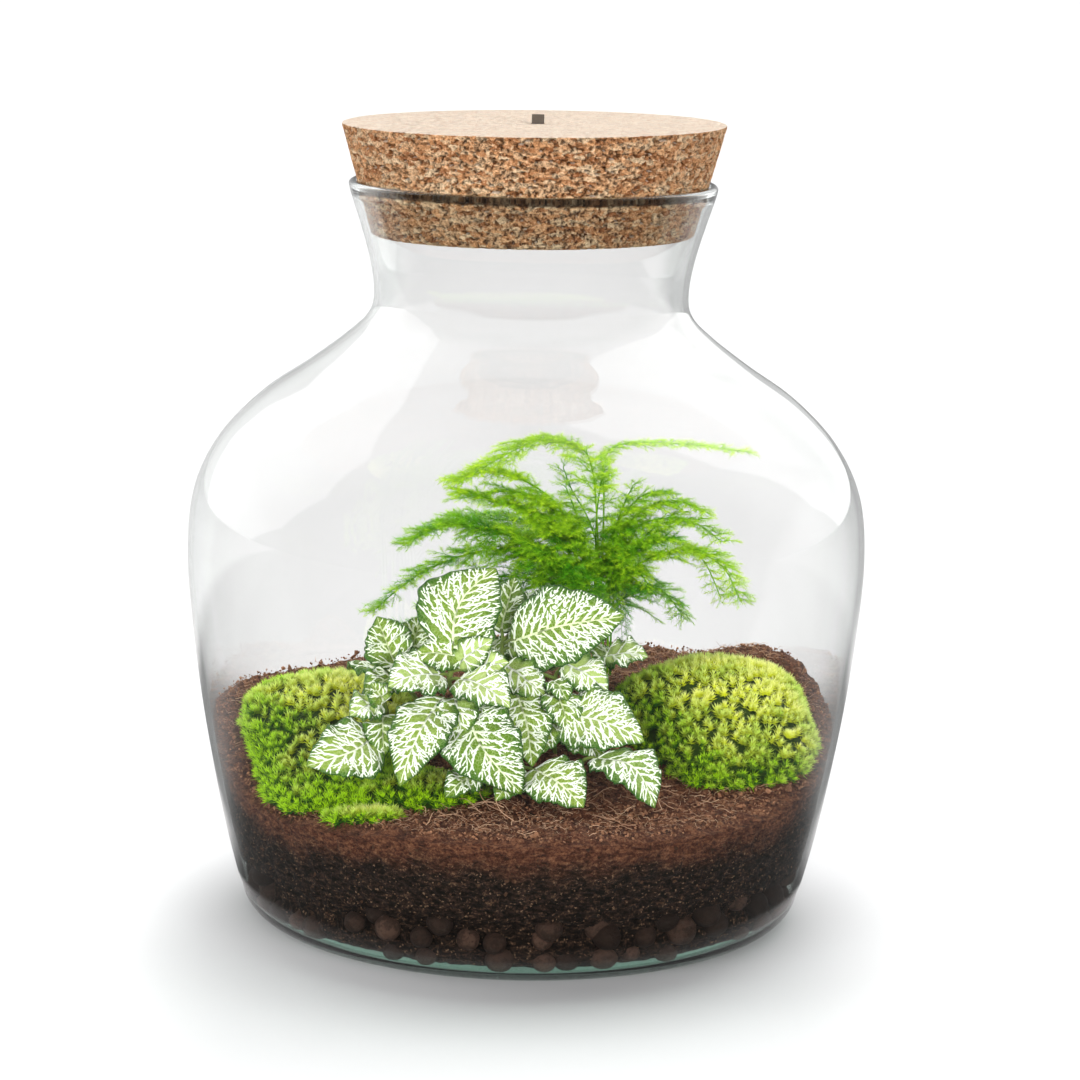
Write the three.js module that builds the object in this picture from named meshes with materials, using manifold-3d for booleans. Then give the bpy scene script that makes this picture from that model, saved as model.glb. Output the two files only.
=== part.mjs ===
// A corked glass jar planted with a nerve plant, an asparagus fern and star moss.
// Millimetres, +Z up. The origin is the centre of the jar's base and -Y is the front.
import * as THREE from "three";
import { SimplexNoise } from "three/addons/math/SimplexNoise.js";
import { mergeVertices } from "three/addons/utils/BufferGeometryUtils.js";
import Module from "manifold-3d";

const wasm = await Module();
wasm.setup();

// Jar: facets round it, wall and floor, foot, and the rounded rim
const SIDES = 32;
const GLASS_WALL = 2.6;
const GLASS_FLOOR = 5;
const FOOT_RADIUS = 96;
const FOOT_CORNER = 11.2;
const FOOT_ARC_END = -0.1;
const FLOOR_CORNER_CENTRE = 96.5;
const FLOOR_CORNER = 9;
const FLOOR_ARC_START = -0.2;
const CORNER_STEPS = 3;
const PUNT_RADIUS = 60;
const PUNT_HEIGHT = 1.6;
const WALL_STEPS = 13;
const RIM_HEIGHT = 276.5;
const RIM_RADIUS = 67.05;
const RIM_BEAD = 1.65;
const RIM_STEPS = 3;
// Outer radius and height up the blown wall, from above the foot to below the rim
const JAR_OUTLINE = [
  [109, 15],
  [115, 40],
  [121.8, 78],
  [126, 110],
  [128, 138],
  [125.6, 162],
  [116.4, 181],
  [101, 197],
  [83.6, 209],
  [69, 220],
  [60.6, 228.5],
  [58.9, 238],
  [61.6, 253],
  [68, 273.5],
];

// Stopper and the folded leather tab in its top
const CORK_FOOT = 259.2;
const CORK_TOP = 299.8;
const CORK_FOOT_RADIUS = 60.1;
const CORK_TOP_RADIUS = 71.4;
const CORK_CHAMFER = 0.7;
const TAB_WIDTH = 4.6;
const TAB_LEATHER = 1.6;
const TAB_FOLD_GAP = 0.5;
const TAB_FOLD_STEPS = 6;
const TAB_PROUD = 4.2;
const TAB_SUNK = 8;
const TAB_X = 1.2;
const TAB_Y = -4;

// What touches in the jar keeps this clear
const CLEARANCE = 0.3;

// Pebble bed: a packed core with clay balls standing out of it all round.
// A pair of numbers in brackets is the range a size is drawn from.
const BED_BOTTOM = GLASS_FLOOR + CLEARANCE;
const BED_TOP = 25.6;
const BED_INSET = 7;
const BED_FOOT_RADIUS = 90;
const BED_SIDES = 20;
const BED_SEED = 5;
const PEBBLE_RADIUS = [4.9, 5.7];
const PEBBLE_STRAY = [-0.18, 0.18];
const PEBBLE_ROWS = [
  { height: 11.3, radius: 97, count: 15 },
  { height: 19.6, radius: 101.2, count: 16 },
];

// Soil: low along the front glass, rising to the back, with mounds and hollows
const SOIL_BOTTOM = BED_TOP + CLEARANCE;
const SOIL_FRONT = 56.5;
const SOIL_RISE = 21.5;
const SOIL_SLOPE_FROM = -80;
const SOIL_SLOPE_TO = 5;
const SOIL_MOUNDS = [
  { x: 6, y: 10, radius: 42, height: 6 },
  { x: 84, y: 48, radius: 26, height: 6 },
  { x: -92, y: -72, radius: 34, height: -3.5 },
  { x: -72, y: 72, radius: 44, height: -5 },
];
const SOIL_WALL_STEPS = 2;
const SOIL_RINGS = 9;
const SOIL_BRIM = 0.99;
const CRUMB_HEIGHT = 1.6;
const CRUMB_SPACING = 6;
const CRUMB_SEED = 7;
const PLANTING_DEPTH = 6;
const HOLE_SIDES = 5;
const HOLE_CLEARANCE = 0.8;

// Star moss: lobed domes laid on the soil, each facet raised to a shoot's tip
const MOSS_SHOOT = [2, 4.4];
const MOSS_ROOT = 5;
const MOSS_LOBES = [3, 5];
const MOSS_LUMP = 0.05;
const MOSS_CUSHIONS = [
  { name: "moss_cushion_right", x: 75, y: -13, reachX: 38, reachY: 43, height: 21, detail: 4, seed: 11 },
  { name: "moss_cushion_left", x: -74, y: -21, reachX: 31, reachY: 54, height: 12, detail: 4, seed: 12 },
  { name: "moss_tuft_front", x: -57, y: -85, reachX: 15, reachY: 8, height: 5, detail: 1, seed: 13 },
];

// Nerve plant: round stems, and broad leaves with waved edges
const STEM_RADIUS = 1.4;
const STEM_SIDES = 5;
const STEM_STEPS = 6;
const STEM_UPRIGHT = 2;
const PETIOLE_RADIUS = 0.9;
const PETIOLE_SIDES = 3;
const PETIOLE_IN_BLADE = 0.05;
const BLADE_THICKNESS = 0.8;
const BLADE_ALONG = 5;
const BLADE_ACROSS = 2;
const BLADE_END = 0.6;
const BLADE_SKEW = 0.8;
const BLADE_FULLNESS = 0.72;
const EDGE_WAVES = 3;
const EDGE_WAVE = 1.2;
const EDGE_WAVE_SHIFT = 1.7;
// node says how far up its stem a leaf grows, from 0 to 1. The leaf runs from base to tip and its
// upper side looks along face. As shares of its size, arch lifts its middle off the straight line,
// bend bows it sideways and fold lifts its edges off the midrib.
const NERVE_STEMS = [
  {
    name: "nerve_stem_crown",
    route: [[-19, -44], [-20, -45, 84], [-27, -45, 96], [-27, -44, 102]],
    leaves: [
      { node: 1, base: [-26, -42, 105], tip: [-11, -34, 138], width: 30,
        face: [0.1, -1, 0.3], arch: 0.1, bend: -0.18, fold: 0.1 },
      { node: 0.94, base: [-30, -47, 100], tip: [-49, -58, 99], width: 24,
        face: [-0.2, -0.6, 0.8], arch: 0.12, bend: 0, fold: 0.1 },
      { node: 0.9, base: [-24, -48, 99], tip: [-5, -65, 94], width: 20,
        face: [0.1, -0.7, 0.8], arch: 0.14, bend: 0, fold: 0.1 },
      { node: 0.72, base: [-20, -53, 90], tip: [0, -77, 65], width: 28,
        face: [0.1, -0.8, 0.5], arch: 0.16, bend: 0.13, fold: 0.08 },
      { node: 0.7, base: [-29, -52, 93], tip: [-44, -76, 67], width: 22,
        face: [-0.2, -0.8, 0.5], arch: 0.16, bend: 0, fold: 0.08 },
    ],
  },
  {
    name: "nerve_stem_middle",
    route: [[-3, -31], [-4, -31, 92], [-8, -31, 104], [-8, -30, 110]],
    leaves: [
      { node: 0.96, base: [-5, -33, 110], tip: [36, -42, 123], width: 29,
        face: [0.1, -0.9, 0.5], arch: 0.12, bend: 0, fold: 0.08 },
      { node: 1, base: [-9, -27, 112], tip: [-4, -20, 132], width: 14,
        face: [-0.1, -1, 0.3], arch: 0.08, bend: 0, fold: 0.14 },
      { node: 0.98, base: [-4, -25, 113], tip: [26, -13, 123], width: 20,
        face: [0, -0.5, 0.9], arch: 0.12, bend: 0, fold: 0.1 },
      { node: 0.6, base: [-3, -43, 94], tip: [4, -65, 72], width: 19,
        face: [0.2, -0.8, 0.5], arch: 0.12, bend: 0, fold: 0.1 },
      { node: 0.8, base: [-11, -25, 101], tip: [-26, 6, 96], width: 25,
        face: [-0.2, 0.4, 0.9], arch: 0.14, bend: 0, fold: 0.08 },
      { node: 0.6, base: [-1, -24, 96], tip: [11, 6, 92], width: 24,
        face: [0.2, 0.4, 0.9], arch: 0.14, bend: 0, fold: 0.08 },
    ],
  },
  {
    name: "nerve_stem_left",
    route: [[-41, -46], [-44, -47, 78], [-49, -50, 82], [-50, -51, 88]],
    leaves: [
      { node: 0.6, base: [-54, -57, 80], tip: [-77, -74, 73], width: 25,
        face: [-0.3, -1, 0.6], arch: 0.14, bend: -0.16, fold: 0.08 },
      { node: 0.95, base: [-52, -51, 90], tip: [-63, -57, 87], width: 16,
        face: [-0.3, -0.6, 0.8], arch: 0.1, bend: 0, fold: 0.12 },
      { node: 1, base: [-51, -53, 91], tip: [-55, -57, 99], width: 10,
        face: [0.2, -1, 0.5], arch: 0.06, bend: 0, fold: 0.2 },
    ],
  },
  {
    name: "nerve_stem_left_rear",
    route: [[-36, -33], [-38, -33, 84], [-44, -34, 94], [-45, -34, 99]],
    leaves: [
      { node: 1, base: [-47, -37, 101], tip: [-54, -41, 120], width: 18,
        face: [0.3, -1, 0.2], arch: -0.1, bend: 0, fold: 0.16 },
      { node: 1, base: [-43, -32, 103], tip: [-38, -28, 118], width: 15,
        face: [-0.2, -1, 0.2], arch: 0.06, bend: 0, fold: 0.16 },
      { node: 0.8, base: [-48, -30, 95], tip: [-63, -6, 93], width: 22,
        face: [-0.3, 0.3, 0.9], arch: 0.14, bend: 0, fold: 0.08 },
    ],
  },
  {
    name: "nerve_stem_right",
    route: [[12, -38], [11, -38, 82], [11, -37, 92], [12, -36, 99]],
    leaves: [
      { node: 0.45, base: [12, -45, 85], tip: [44, -59, 81], width: 27,
        face: [0.1, -0.7, 0.7], arch: 0.14, bend: 0, fold: 0.06 },
      { node: 1, base: [15, -33, 102], tip: [31, -43, 94], width: 17,
        face: [0.2, -0.7, 0.8], arch: 0.12, bend: 0, fold: 0.08 },
      { node: 0.85, base: [11, -40, 97], tip: [16, -51, 93], width: 10,
        face: [0.2, -0.8, 0.6], arch: 0.1, bend: 0, fold: 0.14 },
    ],
  },
  {
    name: "nerve_stem_right_rear",
    route: [[27, -14], [27, -14, 88], [28, -15, 96], [28, -16, 99]],
    leaves: [
      { node: 1, base: [30, -18, 101], tip: [46, -24, 104], width: 16,
        face: [0.1, -0.5, 0.9], arch: 0.1, bend: 0, fold: 0.1 },
      { node: 0.9, base: [29, -12, 99], tip: [38, 8, 96], width: 18,
        face: [0.2, 0.3, 0.9], arch: 0.12, bend: 0, fold: 0.1 },
    ],
  },
  {
    name: "nerve_stem_front",
    route: [[-2, -54], [-2, -55, 65], [-2, -57, 68]],
    leaves: [
      { node: 1, base: [4, -61, 69], tip: [22, -82, 62], width: 23,
        face: [0.1, -0.7, 0.7], arch: 0.1, bend: 0, fold: 0.06 },
      { node: 0.9, base: [-15, -61, 68], tip: [-27, -77, 63], width: 13,
        face: [-0.2, -0.8, 0.6], arch: 0.08, bend: 0, fold: 0.1 },
    ],
  },
  {
    name: "nerve_stem_right_front",
    route: [[21, -53], [21, -54, 68], [23, -57, 72]],
    leaves: [
      { node: 1, base: [26, -60, 73], tip: [48, -80, 62], width: 22,
        face: [0.3, -0.6, 0.8], arch: 0.16, bend: -0.12, fold: 0.06 },
    ],
  },
];

// Asparagus fern: wiry stems that rise from one clump and arch over, with side branches lying in
// a flat plume and needles round every branch
const FERN_RADIUS = 0.6;
const FERN_SIDES = 3;
const FERN_STEPS = 8;
const FERN_SEED = 31;
const BRANCH_RADIUS = 0.45;
const BRANCH_FORWARD = [0.45, 0.8];
const BRANCH_LIFT = [-0.15, 0.2];
const BRANCH_REACH = [0.8, 1.05];
const PLUME_TAPER = 0.6;
const WHORL_SPACING = 11;
const WHORL_WIDTH = 0.9;
const NEEDLE_LENGTH = [4.4, 6];
const NEEDLE_LEAN = [0.5, 1.05];
const FERN_CLEARANCE = 1.2;
const FERN_CLEARANCE_TRIED_AT = [0.25, 0.6, 1];
// bare is the share of a route that grows no branches, spread the reach of its longest ones
const FERN_FRONDS = [
  {
    name: "fern_frond_top_left",
    bare: 0.52,
    spread: 22,
    route: [
      [25, 34], [26, 34, 100], [28, 34, 128], [27, 32, 148], [25, 30, 165],
      [20, 27, 174], [6, 22, 178], [-11, 15, 171], [-25, 10, 163],
    ],
  },
  {
    name: "fern_frond_top_right",
    bare: 0.5,
    spread: 13,
    route: [
      [29, 40], [29, 40, 100], [30, 40, 127], [30, 40, 151], [30, 40, 168],
      [38, 40, 174], [59, 41, 174], [85, 44, 171],
    ],
  },
  {
    name: "fern_frond_mid_left",
    bare: 0.42,
    spread: 20,
    route: [
      [22, 36], [22, 36, 100], [24, 36, 122], [19, 30, 137],
      [6, 22, 148], [-12, 14, 155], [-27, 8, 160],
    ],
  },
  {
    name: "fern_frond_low_left",
    bare: 0.34,
    spread: 19,
    route: [
      [21, 32], [21, 32, 100], [21, 32, 116], [13, 26, 128],
      [-10, 18, 135], [-33, 12, 130], [-48, 8, 121], [-57, 6, 113],
    ],
  },
  {
    name: "fern_frond_rear_left",
    bare: 0.36,
    spread: 19,
    route: [
      [22, 42], [22, 42, 100], [22, 44, 120], [12, 50, 136],
      [-14, 56, 140], [-36, 60, 136], [-49, 62, 127],
    ],
  },
  {
    name: "fern_frond_right",
    bare: 0.38,
    spread: 18,
    route: [
      [31, 35], [31, 35, 100], [32, 34, 122], [37, 30, 138],
      [50, 24, 147], [64, 20, 147], [75, 16, 140],
    ],
  },
  {
    name: "fern_frond_low_right",
    bare: 0.36,
    spread: 15,
    route: [
      [33, 40], [33, 40, 100], [34, 41, 118], [40, 43, 131],
      [54, 44, 136], [69, 42, 128], [77, 38, 113],
    ],
  },
  {
    name: "fern_frond_front",
    bare: 0.46,
    spread: 15,
    route: [
      [27, 30], [27, 30, 100], [27, 29, 120], [22, 20, 133],
      [13, 12, 137], [4, 6, 134], [0, 3, 127],
    ],
  },
  {
    name: "fern_frond_rear_up",
    bare: 0.5,
    spread: 14,
    route: [[28, 45], [28, 45, 100], [29, 46, 124], [25, 51, 140], [18, 55, 152], [14, 58, 161]],
  },
  {
    name: "fern_frond_short_right",
    bare: 0.5,
    spread: 9,
    route: [[34, 35], [34, 35, 100], [35, 33, 115], [39, 27, 124], [45, 20, 125], [49, 15, 119]],
  },
];

// One seeded draw per piece, so that every build grows the same one
function seededDraw(seed) {
  let state = seed;
  return (low, high) => {
    state = (state * 1664525 + 1013904223) % 4294967296;
    return low + ((high - low) * state) / 4294967296;
  };
}

// A geometry as a solid, with its shared corners merged and its flat slivers dropped
function toSolid(geometry) {
  const bare = geometry.clone();
  bare.deleteAttribute("normal");
  bare.deleteAttribute("uv");
  const merged = mergeVertices(bare, 1e-4);
  const corners = [];
  for (let i = 0; i < merged.index.count; i += 3) {
    const face = [merged.index.getX(i), merged.index.getX(i + 1), merged.index.getX(i + 2)];
    if (new Set(face).size === 3) {
      corners.push(...face);
    }
  }
  const vertProperties = new Float32Array(merged.attributes.position.array);
  const triVerts = new Uint32Array(corners);
  return new wasm.Manifold(new wasm.Mesh({ numProp: 3, vertProperties, triVerts }));
}

function toGeometry(solid) {
  const mesh = solid.getMesh();
  const geometry = new THREE.BufferGeometry();
  geometry.setAttribute("position", new THREE.BufferAttribute(mesh.vertProperties, 3));
  geometry.setIndex(new THREE.BufferAttribute(mesh.triVerts, 1));
  geometry.computeVertexNormals();
  return geometry;
}

function joined(solids) {
  return solids.reduce((whole, piece) => whole.add(piece));
}

function finish(colour, roughness) {
  return new THREE.MeshStandardMaterial({ color: colour, roughness, metalness: 0 });
}

function named(name, geometry, material) {
  const mesh = new THREE.Mesh(geometry, material);
  mesh.name = name;
  return mesh;
}

// A profile of (radius, height) turned round the upright axis
function turned(profile, sides = SIDES) {
  return new THREE.LatheGeometry(profile, sides).rotateX(Math.PI / 2);
}

function arc(radius, height, size, from, to, steps) {
  const curve = new THREE.EllipseCurve(radius, height, size, size, from, to, to < from);
  return curve.getPoints(steps);
}

function tube(points, radius, sides, steps) {
  const ring = [];
  for (let i = 0; i < sides; i += 1) {
    const angle = (i / sides) * Math.PI * 2;
    ring.push(new THREE.Vector2(Math.cos(angle) * radius, Math.sin(angle) * radius));
  }
  const isStraight = points.length === 2;
  const path = isStraight ? new THREE.LineCurve3(...points) : new THREE.CatmullRomCurve3(points);
  return new THREE.ExtrudeGeometry(new THREE.Shape(ring), { steps, extrudePath: path, bevelEnabled: false });
}

// The jar's wall, outside and inside, from the foot up
const wallPoints = JAR_OUTLINE.map(([radius, height]) => new THREE.Vector2(radius, height));
const wallCurve = new THREE.SplineCurve(wallPoints);
const outerWall = wallCurve.getPoints(WALL_STEPS);
const innerWall = outerWall.map((point, i) => {
  const along = wallCurve.getTangent(i / WALL_STEPS);
  return new THREE.Vector2(point.x - along.y * GLASS_WALL, point.y + along.x * GLASS_WALL);
});

// The radius of the space in the jar at a height above its floor's corner
function insideRadius(height) {
  const upper = innerWall.findIndex((point) => point.y > height);
  const low = innerWall[Math.max(upper - 1, 0)];
  const high = innerWall[Math.max(upper, 1)];
  return THREE.MathUtils.mapLinear(height, low.y, high.y, low.x, high.x);
}

function glassJar() {
  const down = -Math.PI / 2;
  const cornerHeight = GLASS_FLOOR + FLOOR_CORNER;
  const profile = [
    new THREE.Vector2(0, PUNT_HEIGHT),
    new THREE.Vector2(PUNT_RADIUS - PUNT_HEIGHT, PUNT_HEIGHT),
    new THREE.Vector2(PUNT_RADIUS, 0),
    ...arc(FOOT_RADIUS, FOOT_CORNER, FOOT_CORNER, down, FOOT_ARC_END, CORNER_STEPS),
    ...outerWall,
    ...arc(RIM_RADIUS, RIM_HEIGHT, RIM_BEAD, 0, Math.PI, RIM_STEPS),
    ...innerWall.toReversed(),
    ...arc(FLOOR_CORNER_CENTRE, cornerHeight, FLOOR_CORNER, FLOOR_ARC_START, down, CORNER_STEPS),
    new THREE.Vector2(0, GLASS_FLOOR),
  ];
  return turned(profile);
}

function corkStopper() {
  const lean = (CORK_TOP_RADIUS - CORK_FOOT_RADIUS) / (CORK_TOP - CORK_FOOT);
  const profile = [
    new THREE.Vector2(0, CORK_FOOT),
    new THREE.Vector2(CORK_FOOT_RADIUS - CORK_CHAMFER, CORK_FOOT),
    new THREE.Vector2(CORK_FOOT_RADIUS + lean * CORK_CHAMFER, CORK_FOOT + CORK_CHAMFER),
    new THREE.Vector2(CORK_TOP_RADIUS, CORK_TOP - CORK_CHAMFER),
    new THREE.Vector2(CORK_TOP_RADIUS - CORK_CHAMFER, CORK_TOP),
    new THREE.Vector2(0, CORK_TOP),
  ];
  const slotDepth = TAB_SUNK + CLEARANCE;
  const tabDepth = 2 * TAB_LEATHER + TAB_FOLD_GAP;
  const slot = new THREE.BoxGeometry(TAB_WIDTH + 2 * CLEARANCE, tabDepth + 2 * CLEARANCE, 2 * slotDepth);
  slot.translate(TAB_X, TAB_Y, CORK_TOP);
  return toGeometry(toSolid(turned(profile)).subtract(toSolid(slot)));
}

// One strap of leather folded double, its fold up and its two ends in the cork
function pullTab() {
  const inner = TAB_FOLD_GAP / 2;
  const outer = inner + TAB_LEATHER;
  const foldHeight = TAB_PROUD - outer;
  const outline = new THREE.Shape();
  outline.moveTo(outer, -TAB_SUNK);
  outline.absarc(0, foldHeight, outer, 0, Math.PI, false);
  outline.lineTo(-outer, -TAB_SUNK);
  outline.lineTo(-inner, -TAB_SUNK);
  outline.absarc(0, foldHeight, inner, Math.PI, 0, true);
  outline.lineTo(inner, -TAB_SUNK);
  outline.closePath();
  const size = { depth: TAB_WIDTH, bevelEnabled: false, curveSegments: TAB_FOLD_STEPS };
  const strap = new THREE.ExtrudeGeometry(outline, size);
  strap.translate(0, 0, -TAB_WIDTH / 2);
  strap.rotateX(Math.PI / 2);
  strap.rotateZ(Math.PI / 2);
  return strap.translate(TAB_X, TAB_Y, CORK_TOP);
}

function pebbleBed() {
  const draw = seededDraw(BED_SEED);
  const core = turned([
    new THREE.Vector2(0, BED_BOTTOM),
    new THREE.Vector2(BED_FOOT_RADIUS, BED_BOTTOM),
    new THREE.Vector2(insideRadius(BED_TOP) - BED_INSET, BED_TOP),
    new THREE.Vector2(0, BED_TOP),
  ], BED_SIDES);
  const pieces = [toSolid(core)];
  PEBBLE_ROWS.forEach((row) => {
    for (let i = 0; i < row.count; i += 1) {
      const ball = new THREE.IcosahedronGeometry(draw(...PEBBLE_RADIUS), 0);
      const angle = ((i + draw(...PEBBLE_STRAY)) / row.count) * Math.PI * 2;
      ball.rotateX(draw(0, Math.PI));
      ball.rotateZ(draw(0, Math.PI));
      ball.translate(row.radius * Math.cos(angle), row.radius * Math.sin(angle), row.height);
      pieces.push(toSolid(ball));
    }
  });
  return toGeometry(joined(pieces));
}

// Height of the raked soil, without its crumbs
function soilHeight(x, y) {
  const slope = THREE.MathUtils.smoothstep(y, SOIL_SLOPE_FROM, SOIL_SLOPE_TO);
  return SOIL_MOUNDS.reduce((height, mound) => {
    const reach = Math.hypot(x - mound.x, y - mound.y) / mound.radius;
    return height + mound.height * Math.exp(-reach * reach);
  }, SOIL_FRONT + SOIL_RISE * slope);
}

function pottingSoil(feet) {
  const crumbDraw = seededDraw(CRUMB_SEED);
  const crumbs = new SimplexNoise({ random: () => crumbDraw(0, 1) });
  const brim = insideRadius(SOIL_FRONT) - CLEARANCE;
  const profile = [new THREE.Vector2(0, 0)];
  for (let i = 0; i <= SOIL_WALL_STEPS; i += 1) {
    profile.push(new THREE.Vector2(1, i / SOIL_WALL_STEPS));
  }
  for (let i = SOIL_RINGS - 1; i >= 0; i -= 1) {
    profile.push(new THREE.Vector2(i / SOIL_RINGS, 1));
  }
  const mass = turned(profile);
  const corner = mass.attributes.position;
  for (let i = 0; i < corner.count; i += 1) {
    const share = Math.hypot(corner.getX(i), corner.getY(i));
    const level = corner.getZ(i);
    const angle = Math.atan2(corner.getY(i), corner.getX(i));
    const brimHeight = soilHeight(brim * Math.cos(angle), brim * Math.sin(angle));
    const height = THREE.MathUtils.lerp(SOIL_BOTTOM, brimHeight, level);
    const radius = share * (insideRadius(height) - CLEARANCE);
    const x = radius * Math.cos(angle);
    const y = radius * Math.sin(angle);
    const crumb = CRUMB_HEIGHT * crumbs.noise(x / CRUMB_SPACING, y / CRUMB_SPACING);
    const isTop = level === 1 && share < SOIL_BRIM;
    corner.setXYZ(i, x, y, isTop ? soilHeight(x, y) + crumb : height);
  }
  return feet.reduce((soil, foot) => {
    const hole = new THREE.CylinderGeometry(foot.radius, foot.radius, 2 * PLANTING_DEPTH, HOLE_SIDES);
    hole.rotateX(Math.PI / 2);
    hole.translate(foot.x, foot.y, soilHeight(foot.x, foot.y));
    return soil.subtract(toSolid(hole));
  }, toSolid(mass));
}

// Replaces each facet that has a peak by three facets that rise to it
function raised(geometry, peakOf) {
  const corner = (geometry.index ? geometry.toNonIndexed() : geometry).attributes.position;
  const points = [];
  for (let i = 0; i < corner.count; i += 3) {
    const [a, b, c] = [0, 1, 2].map((k) => new THREE.Vector3().fromBufferAttribute(corner, i + k));
    const peak = peakOf(new THREE.Triangle(a, b, c));
    points.push(...(peak ? [a, b, peak, b, c, peak, c, a, peak] : [a, b, c]));
  }
  return new THREE.BufferGeometry().setFromPoints(points);
}

// Moves a point that is too near the glass straight in towards the jar's axis
function keptInside(point, room) {
  const reach = Math.hypot(point.x, point.y);
  const limit = insideRadius(point.z) * Math.cos(Math.PI / SIDES) - room;
  const share = Math.min(1, limit / reach);
  return point.set(point.x * share, point.y * share, point.z);
}

// A dome that follows the soil under it, its upper facets raised to shoots
function mossCushion(cushion, soil) {
  const draw = seededDraw(cushion.seed);
  const dome = new THREE.IcosahedronGeometry(1, cushion.detail);
  const corner = dome.attributes.position;
  for (let i = 0; i < corner.count; i += 1) {
    const turn = Math.atan2(corner.getY(i), corner.getX(i));
    const lobe = (sum, lobes) => sum + MOSS_LUMP * Math.sin(lobes * turn + cushion.seed);
    const lump = MOSS_LOBES.reduce(lobe, 1);
    const x = cushion.x + cushion.reachX * lump * corner.getX(i);
    const y = cushion.y + cushion.reachY * lump * corner.getY(i);
    const rise = corner.getZ(i) > 0 ? cushion.height : MOSS_ROOT;
    const point = new THREE.Vector3(x, y, soilHeight(x, y) + rise * corner.getZ(i));
    corner.setXYZ(i, ...keptInside(point, 2 * CLEARANCE));
  }
  const shoots = raised(dome, (facet) => {
    const middle = facet.getMidpoint(new THREE.Vector3());
    if (middle.z < soilHeight(middle.x, middle.y)) {
      return null;
    }
    const normal = facet.getNormal(new THREE.Vector3());
    return keptInside(middle.addScaledVector(normal, draw(...MOSS_SHOOT)), CLEARANCE);
  });
  return toGeometry(toSolid(shoots).subtract(soil.translate([0, 0, CLEARANCE])));
}

// The outer corners of a grid of facets, in order round it
function gridRim(across, along) {
  const at = (column, row) => row * (across + 1) + column;
  const rim = [];
  for (let column = 0; column < across; column += 1) {
    rim.push(at(column, along));
  }
  for (let row = along; row > 0; row -= 1) {
    rim.push(at(across, row));
  }
  for (let column = across; column > 0; column -= 1) {
    rim.push(at(column, 0));
  }
  for (let row = 0; row < along; row += 1) {
    rim.push(at(0, row));
  }
  return rim;
}

// A thin sheet closed to a solid: the same grid of facets on both faces, and a rim between them
function thickened(sheet, up) {
  const half = up.clone().multiplyScalar(BLADE_THICKNESS / 2);
  const count = sheet.attributes.position.count;
  const upper = sheet.clone().translate(half.x, half.y, half.z);
  const lower = sheet.clone().translate(-half.x, -half.y, -half.z);
  const places = [...upper.attributes.position.array, ...lower.attributes.position.array];
  const faces = Array.from(sheet.index.array);
  for (let i = 0; i < sheet.index.count; i += 3) {
    faces.push(faces[i] + count, faces[i + 2] + count, faces[i + 1] + count);
  }
  gridRim(BLADE_ACROSS, BLADE_ALONG).forEach((here, i, rim) => {
    const next = rim[(i + 1) % rim.length];
    faces.push(here, here + count, next + count, here, next + count, next);
  });
  const solid = new THREE.BufferGeometry();
  solid.setAttribute("position", new THREE.Float32BufferAttribute(places, 3));
  solid.setIndex(faces);
  return solid;
}

function leafBlade(leaf, phase) {
  const base = new THREE.Vector3(...leaf.base);
  const tip = new THREE.Vector3(...leaf.tip);
  const length = base.distanceTo(tip);
  const forward = tip.clone().sub(base).normalize();
  const side = new THREE.Vector3().crossVectors(forward, new THREE.Vector3(...leaf.face)).normalize();
  const up = new THREE.Vector3().crossVectors(side, forward);
  const sheet = new THREE.PlaneGeometry(2, 1, BLADE_ACROSS, BLADE_ALONG);
  const corner = sheet.attributes.position;
  for (let i = 0; i < corner.count; i += 1) {
    const share = corner.getX(i);
    const along = corner.getY(i) + 0.5;
    const outline = Math.sin(Math.PI * along ** BLADE_SKEW) ** BLADE_FULLNESS || 0;
    const reach = Math.max(BLADE_END, (leaf.width / 2) * outline);
    const wave = EDGE_WAVE * Math.sin(EDGE_WAVES * Math.PI * 2 * along + phase + share);
    const bow = length * Math.sin(Math.PI * along);
    const lift = leaf.arch * bow + Math.abs(share) * outline * (leaf.fold * leaf.width + wave);
    const point = base.clone();
    point.addScaledVector(forward, along * length);
    point.addScaledVector(side, share * reach + leaf.bend * bow);
    point.addScaledVector(up, lift);
    corner.setXYZ(i, point.x, point.y, point.z);
  }
  const petioleEnd = base.addScaledVector(forward, PETIOLE_IN_BLADE * length);
  petioleEnd.addScaledVector(up, leaf.arch * length * Math.sin(PETIOLE_IN_BLADE * Math.PI));
  return { blade: thickened(sheet, up), petioleEnd };
}

// The foot of a route is planted under the soil's surface, and its next point stands above it
function planted(route) {
  const [x, y] = route[0];
  const surface = soilHeight(x, y);
  const foot = [
    new THREE.Vector3(x, y, surface - PLANTING_DEPTH + CLEARANCE),
    new THREE.Vector3(x, y, surface + STEM_UPRIGHT),
  ];
  return [...foot, ...route.slice(1).map((point) => new THREE.Vector3(...point))];
}

function nerveStem(stem) {
  const points = planted(stem.route);
  const curve = new THREE.CatmullRomCurve3(points);
  const pieces = [toSolid(tube(points, STEM_RADIUS, STEM_SIDES, STEM_STEPS))];
  stem.leaves.forEach((leaf, i) => {
    const { blade, petioleEnd } = leafBlade(leaf, i * EDGE_WAVE_SHIFT);
    const petiole = tube([curve.getPointAt(leaf.node), petioleEnd], PETIOLE_RADIUS, PETIOLE_SIDES, 1);
    pieces.push(toSolid(petiole), toSolid(blade));
  });
  return toGeometry(joined(pieces));
}

function frondCurve(frond) {
  return new THREE.CatmullRomCurve3(planted(frond.route));
}

// Straight lines of the fern laid so far, its stems first, so that one frond clears the next
const laid = [];
FERN_FRONDS.forEach((frond) => {
  const rings = frondCurve(frond).getSpacedPoints(FERN_STEPS);
  rings.slice(1).forEach((point, i) => laid.push({ line: new THREE.Line3(rings[i], point), frond }));
});

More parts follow.
